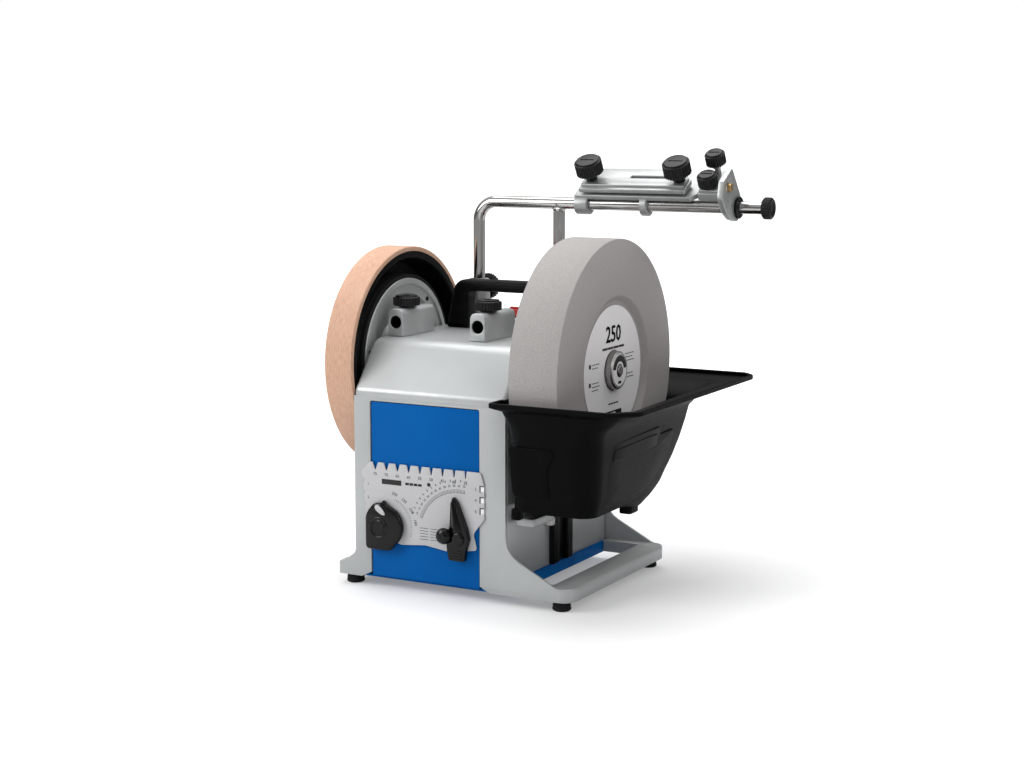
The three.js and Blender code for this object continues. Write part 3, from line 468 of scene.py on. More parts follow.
def repeat_tree(name, inputs, build):
    """A geometry tree with named number inputs, ending in realised, finished instances."""
    tree = bpy.data.node_groups.new(name, "GeometryNodeTree")
    tree.interface.new_socket("Geometry", in_out="INPUT", socket_type="NodeSocketGeometry")
    for label, kind in inputs.items():
        tree.interface.new_socket(label, in_out="INPUT", socket_type=kind)
    tree.interface.new_socket("Geometry", in_out="OUTPUT", socket_type="NodeSocketGeometry")
    graph = Graph(tree)
    source = tree.nodes.new("NodeGroupInput")
    given = {label: Value(graph, source.outputs[label]) for label in inputs}
    placed = build(graph, given)
    real = graph.node("GeometryNodeRealizeInstances", None, {0: placed})
    dressed = graph.node("GeometryNodeSetMaterial", None, {"Geometry": real, "Material": given["Finish"]})
    sink = tree.nodes.new("NodeGroupOutput")
    tree.links.new(dressed.socket, sink.inputs[0])
    return tree


def ribs_round_rim(g, given):
    """Upright half-round ribs round a rim."""
    rim = g.node("GeometryNodeMeshCircle", None, {"Vertices": given["Count"], "Radius": given["Radius"]})
    rib = g.node("GeometryNodeMeshCylinder", None, {
        "Vertices": 8, "Radius": given["Rib Radius"], "Depth": given["Height"]})
    return g.node("GeometryNodeInstanceOnPoints", None, {"Points": rim, "Instance": rib}, "Instances")


def marks_on_arc(g, given):
    """Printed strokes that point to the middle of an arc, in the (x, z) plane."""
    points = g.node("GeometryNodePoints", None, {"Count": given["Count"]})
    index = g.node("GeometryNodeInputIndex")
    angle = given["Start"] + given["Sweep"] * (index / (given["Count"] - 1))
    where = g.vector(angle.math("COSINE") * given["Radius"], 0.0, angle.math("SINE") * given["Radius"])
    points = g.node("GeometryNodeSetPosition", None, {"Geometry": points, "Position": where})
    stroke = g.node("GeometryNodeMeshCube", None, {
        "Size": g.vector(given["Length"], given["Thickness"], given["Width"])})
    turnto = g.vector(0.0, angle * -1, 0.0)
    return g.node("GeometryNodeInstanceOnPoints", None, {
        "Points": points, "Instance": stroke, "Rotation": turnto}, "Instances")


def bars_in_row(g, given):
    """Equal bars side by side along one step."""
    points = g.node("GeometryNodePoints", None, {"Count": given["Count"]})
    index = g.node("GeometryNodeInputIndex")
    where = g.node("ShaderNodeVectorMath", {"operation": "SCALE"}, {0: given["Step"], "Scale": index})
    points = g.node("GeometryNodeSetPosition", None, {"Geometry": points, "Position": where})
    bar = g.node("GeometryNodeMeshCube", None, {"Size": given["Size"]})
    return g.node("GeometryNodeInstanceOnPoints", None, {"Points": points, "Instance": bar}, "Instances")


NUMBER, WHOLE, TRIPLE, FINISH = ("NodeSocketFloat", "NodeSocketInt", "NodeSocketVector", "NodeSocketMaterial")
RIBS = repeat_tree("ribs_round_rim", {"Count": WHOLE, "Radius": NUMBER, "Rib Radius": NUMBER,
                                      "Height": NUMBER, "Finish": FINISH}, ribs_round_rim)
MARKS = repeat_tree("marks_on_arc", {"Count": WHOLE, "Start": NUMBER, "Sweep": NUMBER, "Radius": NUMBER,
                                     "Length": NUMBER, "Width": NUMBER, "Thickness": NUMBER,
                                     "Finish": FINISH}, marks_on_arc)
BARS = repeat_tree("bars_in_row", {"Count": WHOLE, "Step": TRIPLE, "Size": TRIPLE, "Finish": FINISH},
                   bars_in_row)


def grown(tree, finish, **sizes):
    """The plain mesh that a repeat tree makes for these sizes."""
    holder = bpy.data.objects.new("holder", bpy.data.meshes.new("holder"))
    bpy.context.scene.collection.objects.link(holder)
    modifier = holder.modifiers.new("repeat", "NODES")
    modifier.node_group = tree
    sizes["Finish"] = finish
    for item in tree.interface.items_tree:
        if item.item_type == "SOCKET" and item.in_out == "INPUT" and item.name in sizes:
            modifier[item.identifier] = sizes[item.name]
    evaluated = holder.evaluated_get(bpy.context.evaluated_depsgraph_get())
    mesh = bpy.data.meshes.new_from_object(evaluated)
    holder.modifiers.remove(modifier)
    bpy.data.objects.remove(holder)
    return mesh


def ribs(count, radius, rib, height, axis, centre):
    mesh = grown(RIBS, KNOB, **{"Count": count, "Radius": radius, "Rib Radius": rib, "Height": height})
    return moved(mesh, Matrix.Translation(centre) @ TURNED[axis])


def grip_knob(axis, centre, base, radius, height, neck, neck_radius, count, slotted=True):
    """A ribbed knob whose neck stands on base, along an axis, with a slotted or dished cap."""
    top = base + neck + height
    rim = radius - 1.0
    body = lathe([(0, base), (neck_radius, base), (neck_radius, base + neck + 1), (rim - 1.5, base + neck),
                  (rim, base + neck + 1.5), (rim, top - 2.2), (rim - 1.6, top - 1.0), (0, top - 1.0)],
                 axis, centre, 48, 0.4)
    along = {"x": 0, "y": 1, "z": 2}[axis]
    middle = list(centre)
    middle[along] += base + neck + height / 2 - 0.6
    edge = ribs(count, rim - 0.1, math.pi * rim / count * 0.7, height - 2.6, axis, middle)
    half_slot, inner = radius * 0.52, rim - 1.4
    slit = rounded([(-half_slot, -0.55), (half_slot, -0.55), (half_slot, 0.55), (-half_slot, 0.55)], 0.5)
    cap = slab("z", circle(inner, count=48), 0, 1.0, 0.4, (slit if slotted else circle(inner * 0.36),))
    seat = list(centre)
    seat[along] += top - 1.0
    moved(cap, Matrix.Translation(seat) @ TURNED[axis])
    return joined(body, edge, cap)


def words(text, size):
    """Plain figures as a thin mesh in (x, z), facing the front."""
    curve = bpy.data.curves.new("figures", "FONT")
    curve.body, curve.size, curve.extrude = text, size, 0.06
    curve.align_x, curve.align_y, curve.resolution_u = "CENTER", "CENTER", 2
    temp = bpy.data.objects.new("figures", curve)
    mesh = bpy.data.meshes.new_from_object(temp)
    bpy.data.objects.remove(temp)
    return moved(mesh, Matrix.Rotation(math.pi / 2, 4, "X"))


# ------------------------------------------------------------------ housing

def section(inset, bottom):
    """Side view of the upper housing in (y, z), with soft bends, drawn inwards by inset."""
    side, top = HALF_DEPTH - inset, HOUSING_TOP - inset
    lean = math.atan2(HOUSING_TOP - SLANT_FOOT_Z, HALF_DEPTH - SLANT_TOP_Y)
    foot = SLANT_FOOT_Z - inset * math.tan((math.pi / 2 - lean) / 2)
    crest = SLANT_TOP_Y - inset * math.tan(lean / 2)
    return rounded([(-side, bottom), (-side, foot, 16), (-crest, top, 22), (crest, top, 22),
                    (side, foot, 16), (side, bottom)], 0, 6)


def top_casting():
    edge = 5.0
    loops = []
    for side, x in ((1, HOUSING_LEFT), (-1, HOUSING_RIGHT)):
        rows = []
        for k in range(6):
            turned_by = math.pi / 2 * k / 5
            inset, step = edge * (1 - math.sin(turned_by)), edge * (1 - math.cos(turned_by))
            rows.append([(x + side * step, y, z) for y, z in section(inset, SEAM_Z - 0.3)])
        loops += rows if side > 0 else rows[::-1]
    return loft(loops)


def frame_sheet(low, high):
    """Front or rear sheet: an arch round the panel, a gusset and base foot on the right."""
    bend = BASE_TOP + 27.5
    outer = rounded([
        (HOUSING_LEFT, SEAM_Z), (HOUSING_RIGHT, SEAM_Z), (HOUSING_RIGHT, bend, 26),
        (BASE_RIGHT - BASE_CORNER - 2, BASE_TOP + 0.5, 6), (BASE_RIGHT - BASE_CORNER, BASE_TOP),
        (BASE_RIGHT - BASE_CORNER, HOUSING_BOTTOM), (PANEL_X[1] + 11, HOUSING_BOTTOM, 5),
        (PANEL_X[1], HOUSING_BOTTOM + 5.5, 1), (PANEL_X[1], PANEL_Z[1], 2.5), (PANEL_X[0], PANEL_Z[1], 2.5),
        (PANEL_X[0], HOUSING_BOTTOM + 5.5, 1), (PANEL_X[0] - 11, HOUSING_BOTTOM, 5), (BASE_LEFT, HOUSING_BOTTOM),
        (BASE_LEFT, BASE_TOP, 2), (BASE_LEFT + 5, BASE_TOP, 3), (HOUSING_LEFT, BASE_TOP + 10, 8)], 0, 5)
    return slab("y", outer, low, high, 0.2)


piece("housing_casting", top_casting(), "housing", SILVER, ("top_casting",), 50)
piece("front_arch", frame_sheet(-HALF_DEPTH, -HALF_DEPTH + 2.5), "housing", SILVER,
      ("front_frame",))
piece("rear_arch", frame_sheet(HALF_DEPTH - 2.5, HALF_DEPTH), "housing", SILVER,
      ("rear_frame",))
panel = rounded([(PANEL_X[0] + 0.8, PANEL_Z[0]), (PANEL_X[1] - 0.8, PANEL_Z[0]),
                 (PANEL_X[1] - 0.8, PANEL_Z[1] - 0.8), (PANEL_X[0] + 0.8, PANEL_Z[1] - 0.8)], 2)
piece("front_blue_panel", slab("y", panel, -107, -104.5, 0.7), "housing", BLUE, ("front_panel",))
# Black bars on the rear panel stand for the vent slots: painted shade, drawn as bars where openings would be.
vent_shade_bars = grown(BARS, BLACK, Count=12, Step=(0, 0, -6.0), Size=(46.0, 0.6, 2.6))
piece("rear_blue_panel", slab("y", panel, 104.5, 107, 0.7), "housing", BLUE, ("rear_panel",))
piece("rear_vents", vent_shade_bars, "housing", BLACK, at=Matrix.Translation((-150, 106.9, -60)))
for side, x in (("right", (HOUSING_RIGHT - 2.5, HOUSING_RIGHT)), ("left", (HOUSING_LEFT, HOUSING_LEFT + 2.5))):
    wall = [(-WALL_END, HOUSING_BOTTOM + 2.8), (WALL_END, HOUSING_BOTTOM + 2.8),
            (WALL_END, SEAM_Z), (-WALL_END, SEAM_Z)]
    hole = (circle(10.0, (54.9, -67.8)),) if side == "left" else ()
    piece(f"{side}_wall", slab("x", wall, *x, 0.3, hole), "housing", SILVER,
          (f"{side}_side_plate",))
piece("bottom_pan", joined(
    box((HOUSING_LEFT + 1, HOUSING_RIGHT + 2.7), (-WALL_END, WALL_END),
        (HOUSING_BOTTOM, HOUSING_BOTTOM + 2.5), 0.5),
    box((HOUSING_RIGHT + 0.3, HOUSING_RIGHT + 2.8), (-WALL_END, WALL_END),
        (HOUSING_BOTTOM, HOUSING_BOTTOM + 11.5), 0.6)), "housing", BLUE, ("base_pan",))


def base_end(inset):
    """The base's round right corners from above, from front to back."""
    turn_x, turn_y, radius = BASE_RIGHT - BASE_CORNER, HALF_DEPTH - BASE_CORNER, BASE_CORNER - inset
    front = [(turn_x + radius * math.sin(a), -turn_y - radius * math.cos(a))
             for a in (math.pi / 2 * k / 8 for k in range(9))]
    return front + [(x, -y) for x, y in reversed(front)]


wall_x, open_x, open_y = HOUSING_RIGHT + 3.2, BASE_RIGHT - 25, 93.5
flange = base_end(0) + rounded([(wall_x, 107.6), (wall_x, open_y), (open_x, open_y, 3),
                                (open_x, -open_y, 3), (wall_x, -open_y), (wall_x, -107.6)])
skirt = base_end(0) + base_end(2.5)[::-1]
lip = rounded([(open_x, -96), (open_x + 2.5, -96), (open_x + 2.5, 96), (open_x, 96)])
back_lip = [(wall_x + 0.8, open_y), (open_x + 1, open_y), (open_x + 1, 96), (wall_x + 0.8, 96)]
piece("base_bar", joined(
    slab("z", flange, BASE_TOP - 3, BASE_TOP, 1.2), slab("z", skirt, HOUSING_BOTTOM, BASE_TOP - 1.0, 0.5),
    *(slab("z", edge, HOUSING_BOTTOM + 1, BASE_TOP - 1.5, 0.3)
      for edge in (lip, back_lip, [(x, -y) for x, y in reversed(back_lip)]))),
    "housing", SILVER, ("right_base_bar",))
piece("left_bar", joined(
    box((BASE_LEFT, HOUSING_LEFT - 0.3), (-WALL_END, WALL_END), (BASE_TOP - 2.5, BASE_TOP), 0.8, 1),
    box((BASE_LEFT, BASE_LEFT + 2.5), (-WALL_END, WALL_END), (HOUSING_BOTTOM, BASE_TOP - 1), 0.5)),
    "housing", SILVER, ("left_base_bar",))
for name, x, y in (("front_right", -9, -96), ("rear_right", -9, 96), ("front_left", -236, -96),
                   ("rear_left", -236, 96)):
    piece(f"{name}_pad", lathe([(0, -213), (7, -213), (8.4, -212.2), (9, -210.6), (8.2, -209.4), (8.6, -208),
                                (8.2, -206.6), (8.4, -205), (7.6, -203.6), (4, -203.4), (4, -194), (0, -194)],
                               "z", (x, y, 0), 48, 0.3), "housing", RUBBER, (f"{name}_foot",))

# ------------------------------------------------------------------ handle and switch

grip_left, grip_right, foot, crest = HOUSING_LEFT + 16, HOUSING_RIGHT - 16, HOUSING_TOP + 0.4, 75.5
handle = rounded([
    (grip_left, foot, 2), (grip_left + 25, foot, 2), (grip_left + 25, crest - 11.5, 7),
    (grip_right - 25, crest - 11.5, 7), (grip_right - 25, foot, 2), (grip_right, foot, 2),
    (grip_right - 11, crest, 15), (grip_left + 11, crest, 15)], 0, 8)
piece("handle", slab("y", handle, 38, 58, 3.8), "housing", BLACK, ("carrying_handle",), 50)
piece("switch_housing", joined(
    box((-150, -114), (50, 72), (HOUSING_TOP + 0.3, HOUSING_TOP + 8), 1.5, 3),
    box((-148, -116), (51.5, 70.5), (HOUSING_TOP + 4, HOUSING_TOP + 8.4), 0.8, 2)),
    "housing", BLACK, ("switch_base",))
rocker = rounded([(59, 36.6), (63, 36.6), (71, 40.1, 0.8), (69, 43.6, 1.5), (54, 49.3, 2.5),
                  (51, 46.3, 2), (51, 40.1, 0.8)])
piece("red_rocker", slab("x", rocker, -146, -118, 1.6), "switch", RED, ("switch_rocker",))
piece("inlet", joined(
    slab("y", rounded([(-202, -178), (-178, -178), (-178, -152), (-202, -152)], 4), 107, 109.5, 0.7,
         (circle(8.2, (-190, -165)),)),
    lathe([(5.6, 104), (8, 104), (8, 109), (9.4, 110.5), (9.0, 113.5), (6.6, 115.6), (5.6, 115.6)], "y",
          (-190, 0, -165), 40, 0.5),
    lathe([(0, 104.5), (5.8, 104.5), (5.8, 107), (0, 107)], "y", (-190, 0, -165), 32)),
    "housing", BLACK, ("cord_inlet",))

# ------------------------------------------------------------------ support sockets

for index, side in enumerate(("left", "right")):
    x = SLEEVE_X[index]
    arch = rounded([(x - 8.25, HOUSING_TOP + 0.3), (x + 8.25, HOUSING_TOP + 0.3), (x + 8.25, 53, 6.5),
                    (x - 8.25, 53, 6.5)], 0, 6)
    piece(f"{side}_front_socket", joined(
        slab("y", arch, -56, 5, 0.8, (circle(BORE, (x, 40)),)),
        lathe([(0, 0.5), (6.3, 0.5), (6.3, 4.4), (0, 4.4)], "y", (x, 0, 40), 32)),
        "housing", SILVER, (f"{side}_front_sleeve",))
    piece(f"{side}_socket_liner", lathe([(5.7, -54.8), (6.3, -54.8), (6.3, 0.6), (0, 0.6), (0, -1.5), (5.7, -1.5)],
                                        "y", (x, 0, 40), 40), "housing", BLACK)
    piece(f"{side}_front_knob", grip_knob("z", (x, -35, 0), 53.3, 13.5, 10.2, 1.2, 8, 28, slotted=False),
          f"{side}_front_lock", KNOB, (f"{side}_front_lock_knob",))
    x = LEG_X[index]
    piece(f"{side}_rear_socket", lathe([(BORE, -10), (11, -10), (11, 72.6), (9.4, 74), (6.9, 74), (BORE, 73.2)],
                                       "z", (x, LEG_Y, 0), 56, 0.4),
          "housing", SILVER, (f"{side}_rear_sleeve",))
    piece(f"{side}_rear_knob", grip_knob("y", (x, 0, 64.5), 86.3, 13.5, 10.2, 1.2, 8, 28, slotted=False),
          f"{side}_rear_lock", KNOB, (f"{side}_rear_lock_knob",))

# ------------------------------------------------------------------ spindle and wheels

piece("shaft_bar", lathe([(0, -274.5), (5, -274.5), (6, -273.5), (6, -58), (16, -58), (16, -50.4), (6, -50.3),
                          (6, 3.2), (5, 4), (0, 4)], "x", (0, 0, 0), 48, 0.2),
      "spindle", STEEL, ("main_shaft",))
for side, x in (("left", -230), ("right", -71)):
    piece(f"{side}_shaft_bushing", lathe([(6.3, x), (13.4, x), (14, x + 0.8), (14, x + 10.4), (13.4, x + 11),
                                          (6.3, x + 11)], "x", (0, 0, 0), 48), "housing", BRONZE,
          (f"{side}_bushing",))
rim, back = STONE_RADIUS, -STONE_WIDTH
piece("stone_wheel", lathe([(6.3, back), (rim - 1.4, back), (rim - 0.3, back + 0.4), (rim, back + 1.4), (rim, -1.4),
                            (rim - 0.4, -0.4), (rim - 1.4, 0), (71, 0, 1.5), (66, -5, 2), (6.3, -5)], "x",
                           (0, 0, 0), 224), "spindle", STONE, ("grindstone",))
piece("paper_label", lathe([(19.5, -4.7), (61.8, -4.7), (62, -4.45), (61.8, -4.2), (19.5, -4.2)], "x",
                           (0, 0, 0), 128), "spindle", LABEL, ("stone_label",))

to_label = Matrix.Translation((-4.13, 0, 0)) @ Matrix.Rotation(math.pi / 2, 4, "Z")


def thin_mark(outline, x=0.0, z=0.0, holes=()):
    """A thin flat shape in (x, z), for print and for the painted step shade on the gauge."""
    return moved(slab("y", rounded(outline), -0.05, 0.05, 0.02, holes), Matrix.Translation((x, 0, z)))


def lines(x, z, lengths, step=3.4, width=0.8):
    """Short printed lines under each other that stand for small print."""
    return joined(*(moved(grown(BARS, INK_AND_STEP_SHADE, Count=4, Step=(length / 4, 0, 0), Size=(length / 4 - 0.7, 0.1, width)),
                          Matrix.Translation((x + length / 8, 0, z - step * i)))
                    for i, length in enumerate(lengths)))


bold = [moved(words("250", 22), Matrix.Translation((dx, 0, 34 + dz)))
        for dx, dz in ((-0.7, 0), (0, 0.4), (0.7, 0), (0, -0.4), (-0.35, 0), (0.35, 0))]
prints = bold + [lines(-24, 21.5, (48,), width=2.2), lines(-46, 9.5, (16, 13)), lines(-46, -8, (15, 17, 14)),
                 lines(26, 12.5, (20, 17, 21)), lines(26, -7, (18, 20)), lines(-10, -32, (22,), width=1.4)]
prints += [thin_mark([(-2, -2), (2, -2), (2, 2), (-2, 2)], -50, z) for z in (8.5, -9)]
prints.append(thin_mark([(-19, -7), (19, -7), (19, 7), (-19, 7)], 0, -46,
                      (rounded([(-17.4, -5.4), (6, -5.4), (6, 5.4), (-17.4, 5.4)]),)))
piece("label_print", joined(*prints), "spindle", INK_AND_STEP_SHADE, at=to_label)

piece("nut_body", joined(
    lathe([(6.3, -4.7), (17.4, -4.7), (17.9, -4.2), (17.9, 1.6), (17.2, 2.6), (16.4, 2.6), (16.4, 2.0), (6.3, 2.0)],
          "x", (0, 0, 0), 96, 0.2),
    ribs(64, 17.9, 0.55, 6.0, "x", (-1.4, 0, 0))), "spindle", STEEL, ("stone_nut",))
piece("nut_face", lathe([(6.6, 1.8), (16.2, 1.8), (16.2, 2.6), (15.8, 2.9), (6.6, 2.9)], "x", (0, 0, 0), 96),
      "spindle", LABEL)
arc = [math.pi * (0.04 + 0.92 * k / 28) for k in range(29)]
crescent = [(14.6 * math.cos(a), 14.6 * math.sin(a)) for a in arc]
crescent += [(8.6 * math.cos(a), 8.6 * math.sin(a)) for a in reversed(arc)]
piece("nut_print", joined(
    slab("x", crescent, 2.86, 2.96, 0.02),
    slab("x", circle(15.6, count=64), 2.86, 2.95, 0.02, (circle(15.0, count=64),)),
    slab("x", rounded([(-3.4, -12.6), (3.4, -12.6), (3.4, -10), (-3.4, -10)]), 2.86, 2.96, 0.02)),
    "spindle", INK_AND_STEP_SHADE)
piece("shaft_cap", lathe([
    (0, 0.5), (6.5, 0.5), (6.5, 2.4), (5.9, 3.4), (3.8, 4.0), (2.4, 3.6), (1.6, 2.6), (0, 2.4)], "x",
    (0, 0, 0), 48, 0.3), "spindle", KNOB)

band = WHEEL_RADIUS
piece("leather_band", lathe([
    (band - 4.7, WHEEL_LEFT), (band - 0.8, WHEEL_LEFT), (band, WHEEL_LEFT + 0.8), (band, WHEEL_RIGHT - 0.8),
    (band - 0.8, WHEEL_RIGHT), (band - 4.7, WHEEL_RIGHT)], "x", (0, 0, 0), 200, 0.4),
    "spindle", LEATHER, ("honing_leather",))
piece("wheel_core", lathe([
    (6.3, WHEEL_LEFT), (40, WHEEL_LEFT), (44, WHEEL_LEFT + 1.5), (88, WHEEL_LEFT + 1.5), (92, WHEEL_LEFT),
    (105.2, WHEEL_LEFT), (105.2, WHEEL_RIGHT), (100, WHEEL_RIGHT, 1), (98.6, WHEEL_RIGHT - 2, 1),
    (96, WHEEL_LEFT + 9, 3), (94, WHEEL_LEFT + 5, 1), (6.3, WHEEL_LEFT + 5)], "x", (0, 0, 0), 144, 0.5),
    "spindle", BLACK, ("honing_core",))
piece("wheel_nut", joined(
    lathe([(6.3, -272.5), (18, -272.5), (21, -270.6), (21, -261.6), (20, -260.8), (6.3, -260.8)], "x",
          (0, 0, 0), 64, 0.5), ribs(30, 20.9, 1.3, 8.0, "x", (-266, 0, 0))),
    "spindle", KNOB, ("honing_nut",))
disc_screws = [lathe([(0, -236.2), (2.3, -236.2), (2.3, -235.4), (1.7, -235.2), (0, -235.2)], "x",
                     (0, 68 * math.cos(a), 68 * math.sin(a)), 24)
               for a in (math.radians(d) for d in (52, 172, 292))]
piece("drive_disc", lathe([
    (6.3, -255.2), (78, -255.2), (78, -234.4), (77.4, -233.8), (72.5, -233.8), (71.8, -234.8), (71, -236, 0.6),
    (63, -236.4, 1), (61, -240, 1.5), (52, -241, 2), (50, -244.5, 1.5), (38, -245.4, 2), (35, -241, 3),
    (30, -239.6, 3), (25, -243, 3), (21, -248, 2), (15, -249, 2), (13, -244, 2), (12.6, -230.6), (6.3, -230.6)],
    "x", (0, 0, 0), 144, 0.4), "spindle", DISC, ("drive_wheel",), 40)
piece("disc_screws", joined(*disc_screws), "spindle", KNOB)
piece("friction_ring", lathe([
    (78.2, -252.6), (81.4, -252.6), (82, -252), (82, -240.4), (81.2, -239.8), (81.2, -238.8), (82, -238.2),
    (82, -235.4), (81.4, -234.8), (78.2, -234.8)], "x", (0, 0, 0), 144, 0.2),
    "spindle", RUBBER, ("drive_ring",))

# ------------------------------------------------------------------ motor inside the housing

for name in ("motor_case", "motor_rotor", "motor_pivot_pin"):
    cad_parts[name].data.materials.clear()
    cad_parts[name].data.materials.append(STEEL)

# ------------------------------------------------------------------ universal support

bow = 20
elbow = [(LEG_X[0] + bow * (1 - math.cos(a)), LEG_Y, BAR_Z - bow * (1 - math.sin(a)))
         for a in (math.pi / 2 * k / 14 for k in range(15))]
bar_path = [(LEG_X[0], LEG_Y, LEG_BOTTOM)] + elbow + [(BAR_END, LEG_Y, BAR_Z)]
piece("support_bar", joined(
    tube(bar_path, 6, 48), tube([(LEG_X[1], LEG_Y, LEG_BOTTOM), (LEG_X[1], LEG_Y, BAR_Z)], 6, 48),
    lathe([(5.6, BAR_Z - 8.4), (6.25, BAR_Z - 7.8), (6.9, BAR_Z - 5.4), (5.6, BAR_Z - 4)], "z",
          (LEG_X[1], LEG_Y, 0), 48, 0.3)),
    "support", CHROME, ("universal_support",), 40)
piece("end_knob", joined(
    lathe([(0, 116.4), (9.2, 116.4), (9.9, 117.1), (9.9, 124), (9.2, 124.9), (7.6, 125.2), (6.8, 124.2, 0.5),
           (3.2, 123.6), (2.6, 124.4), (0, 124.4)], "x", (0, LEG_Y, BAR_Z), 64, 0.3),
    ribs(30, 9.85, 0.62, 6.4, "x", (120.6, LEG_Y, BAR_Z))), "bar_end_knob", KNOB,
    ("bar_end_knob",))

# ------------------------------------------------------------------ water trough and lift

RIM_Z, LIP, WALL = -18.0, 5.0, 2.5
BOWL_FRONT, BOWL_LEFT, BOWL_REACH = -128.0, -55.5, 129.5


def bowl_right(y, z):
    """The right wall, which tapers towards the back and leans in towards the bottom."""
    depth = min(1.0, max(0.0, (RIM_Z - z) / 111.5))
    return 42 - 12 * (y - BOWL_FRONT) / 296 - 14 * depth


def bowl_front(z):
    """The front wall, which leans in below the flare."""
    return BOWL_FRONT + 14 * min(1.0, max(0.0, (-38 - z) / 76))


def corner(x, y, dx, dy, radius, count=7):
    """Points round one corner of a loop that runs from the dx side to the dy side."""
    return [(x + dx * radius * (1 - math.sin(a)), y + dy * radius * (1 - math.cos(a)))
            for a in (math.pi / 2 * k / (count - 1) for k in range(count))]


def bowl_loop(z, inset, radius):
    """The bowl seen from above at height z, drawn inwards by inset."""
    reach = BOWL_REACH - inset
    under = math.sqrt(max(1.0, reach * reach - z * z)) if -z < reach else 4.0
    back = under if z < -42 else math.sqrt(reach * reach - 42 * 42) + (z + 42) * 0.62
    front = bowl_front(z) + inset
    if z < -122 + inset:
        front = -under
    left = BOWL_LEFT + inset
    right_front, right_back = bowl_right(front, z) - inset, bowl_right(back, z) - inset
    radius = min(radius, (back - front) * 0.3)
    points = corner(left, back, 1, -1, radius * 0.7)[::-1] + corner(right_back, back, -1, -1, radius * 0.7)
    points += corner(right_front, front, -1, 1, radius)[::-1] + corner(left, front, 1, 1, radius)
    return [(x, y, z) for x, y in points]


def rim_loop(inset, z):
    """The rim's outline from above, drawn inwards by inset, with its two cut corners."""
    left, right, front, back = -61.7 + inset, 78 - inset, -136 + inset, 168 - inset
    cut_front, cut_back = 24, 12
    ear = left - 4
    rows = [(left, back - 6), (left + 0.4, back - 3), (left + 1, back - 1.4), (left + 2, back - 0.6),
            (left + 3, back - 0.2), (left + 5, back), (left + 8, back)]
    rows += [(right - cut_back - 3, back), (right - cut_back - 1, back - 0.3), (right - cut_back + 2, back - 2),
             (right - cut_back / 2, back - cut_back / 2), (right - 2, back - cut_back + 2),
             (right - 0.3, back - cut_back - 1), (right, back - cut_back - 3)]
    rows += [(right, front + cut_front + 3), (right - 0.4, front + cut_front), (right - 3, front + cut_front - 4),
             (right - cut_front / 2, front + cut_front / 2), (right - cut_front + 4, front + 3),
             (right - cut_front, front + 0.4), (right - cut_front - 3, front)]
    rows += [(ear + 6, front), (ear + 2.4, front + 0.5), (ear + 0.6, front + 2.2), (ear, front + 5),
             (ear, -112 - inset), (ear + 0.5, -110.4 - inset), (left, -110 - inset)]
    return [(x, y, z) for x, y in rows]


def between_loops(rim, wall, share):
    return [tuple(a * share + b * (1 - share) for a, b in zip(p, q)) for p, q in zip(rim, wall)]


def trough():
    """The open shell: a flat rim, a flare under it and the bowl, outside and inside."""
    levels = [-46, -60, -76, -92, -106, -114, -118.5, -121, -122.2, -124, -126.5, -128.6, -129.4]
    outside = [rim_loop(0.7, RIM_Z), rim_loop(0, RIM_Z - 0.7), rim_loop(0, RIM_Z - LIP + 0.7),
               rim_loop(0.7, RIM_Z - LIP)]
    for z, share in ((-26, 0.55), (-33, 0.3), (-40, 0.08)):
        flare = between_loops(rim_loop(3, z), bowl_loop(z, 0, 22), share)
        last, level = len(flare) - 1, -24.7 if z > -30 else z
        # the left side stays short of the lift column, which it passes on its way down
        outside.append([(max(x, BOWL_LEFT - 0.2), y, level) if k < 7 or k == last else (x, y, z)
                        for k, (x, y, z) in enumerate(flare)])
    outside += [bowl_loop(z, 0, 22 if z > -110 else 16) for z in levels]
    inside = [rim_loop(WALL - 0.7, RIM_Z), rim_loop(WALL, RIM_Z - 0.7), rim_loop(WALL, RIM_Z - LIP + 1.2)]
    inside += [between_loops(rim_loop(5, z), bowl_loop(z, WALL, 20), share)
               for z, share in ((-24, 0.5), (-31, 0.27), (-38, 0.06))]
    inside += [bowl_loop(min(z + WALL, z * 0.985), WALL, 20 if z > -110 else 14) for z in levels]
    return loft(inside[::-1] + outside)


def on_right_wall(lift):
    return lambda a, b, d: Vector((bowl_right(a, b) - 1.2 + d + lift, a, b))


def on_front_wall(lift):
    return lambda a, b, d: Vector((a, bowl_front(b) + 1.2 - d - lift, b))


side_panel = rounded([(-84, -56, 9), (32, -56, 4), (34, -64, 2), (72, -64, 4), (66, -82, 10), (36, -106, 22),
                      (8, -116, 10), (-92, -116, 9)], 3, 6)
front_panel = rounded([(-50, -58, 5), (-6, -58, 4), (-3, -64, 3), (-12, -78, 6), (-12, -106, 4),
                       (-50, -106, 5)], 3, 6)
trough_piece = joined(
    trough(),
    slab("z", side_panel, 0, 2.0, 0.9, bend=on_right_wall(0), fine=2),
    slab("z", rounded([(-78, -62, 4), (28, -62, 4), (28, -74, 3), (-80, -74, 3)], 2), 0, 1.6, 0.7,
         bend=on_right_wall(0.9), fine=2),
    slab("z", front_panel, 0, 2.2, 0.9, bend=on_front_wall(0), fine=2),
    box((-54, -44), (-113, -104), (-129.2, -119), 1.2, 3),
    box((8, 21), (-12, 8), (-136, -116), 1.2, 4))
piece("trough_tub", trough_piece, "trough", TUB, ("water_trough",), 40)

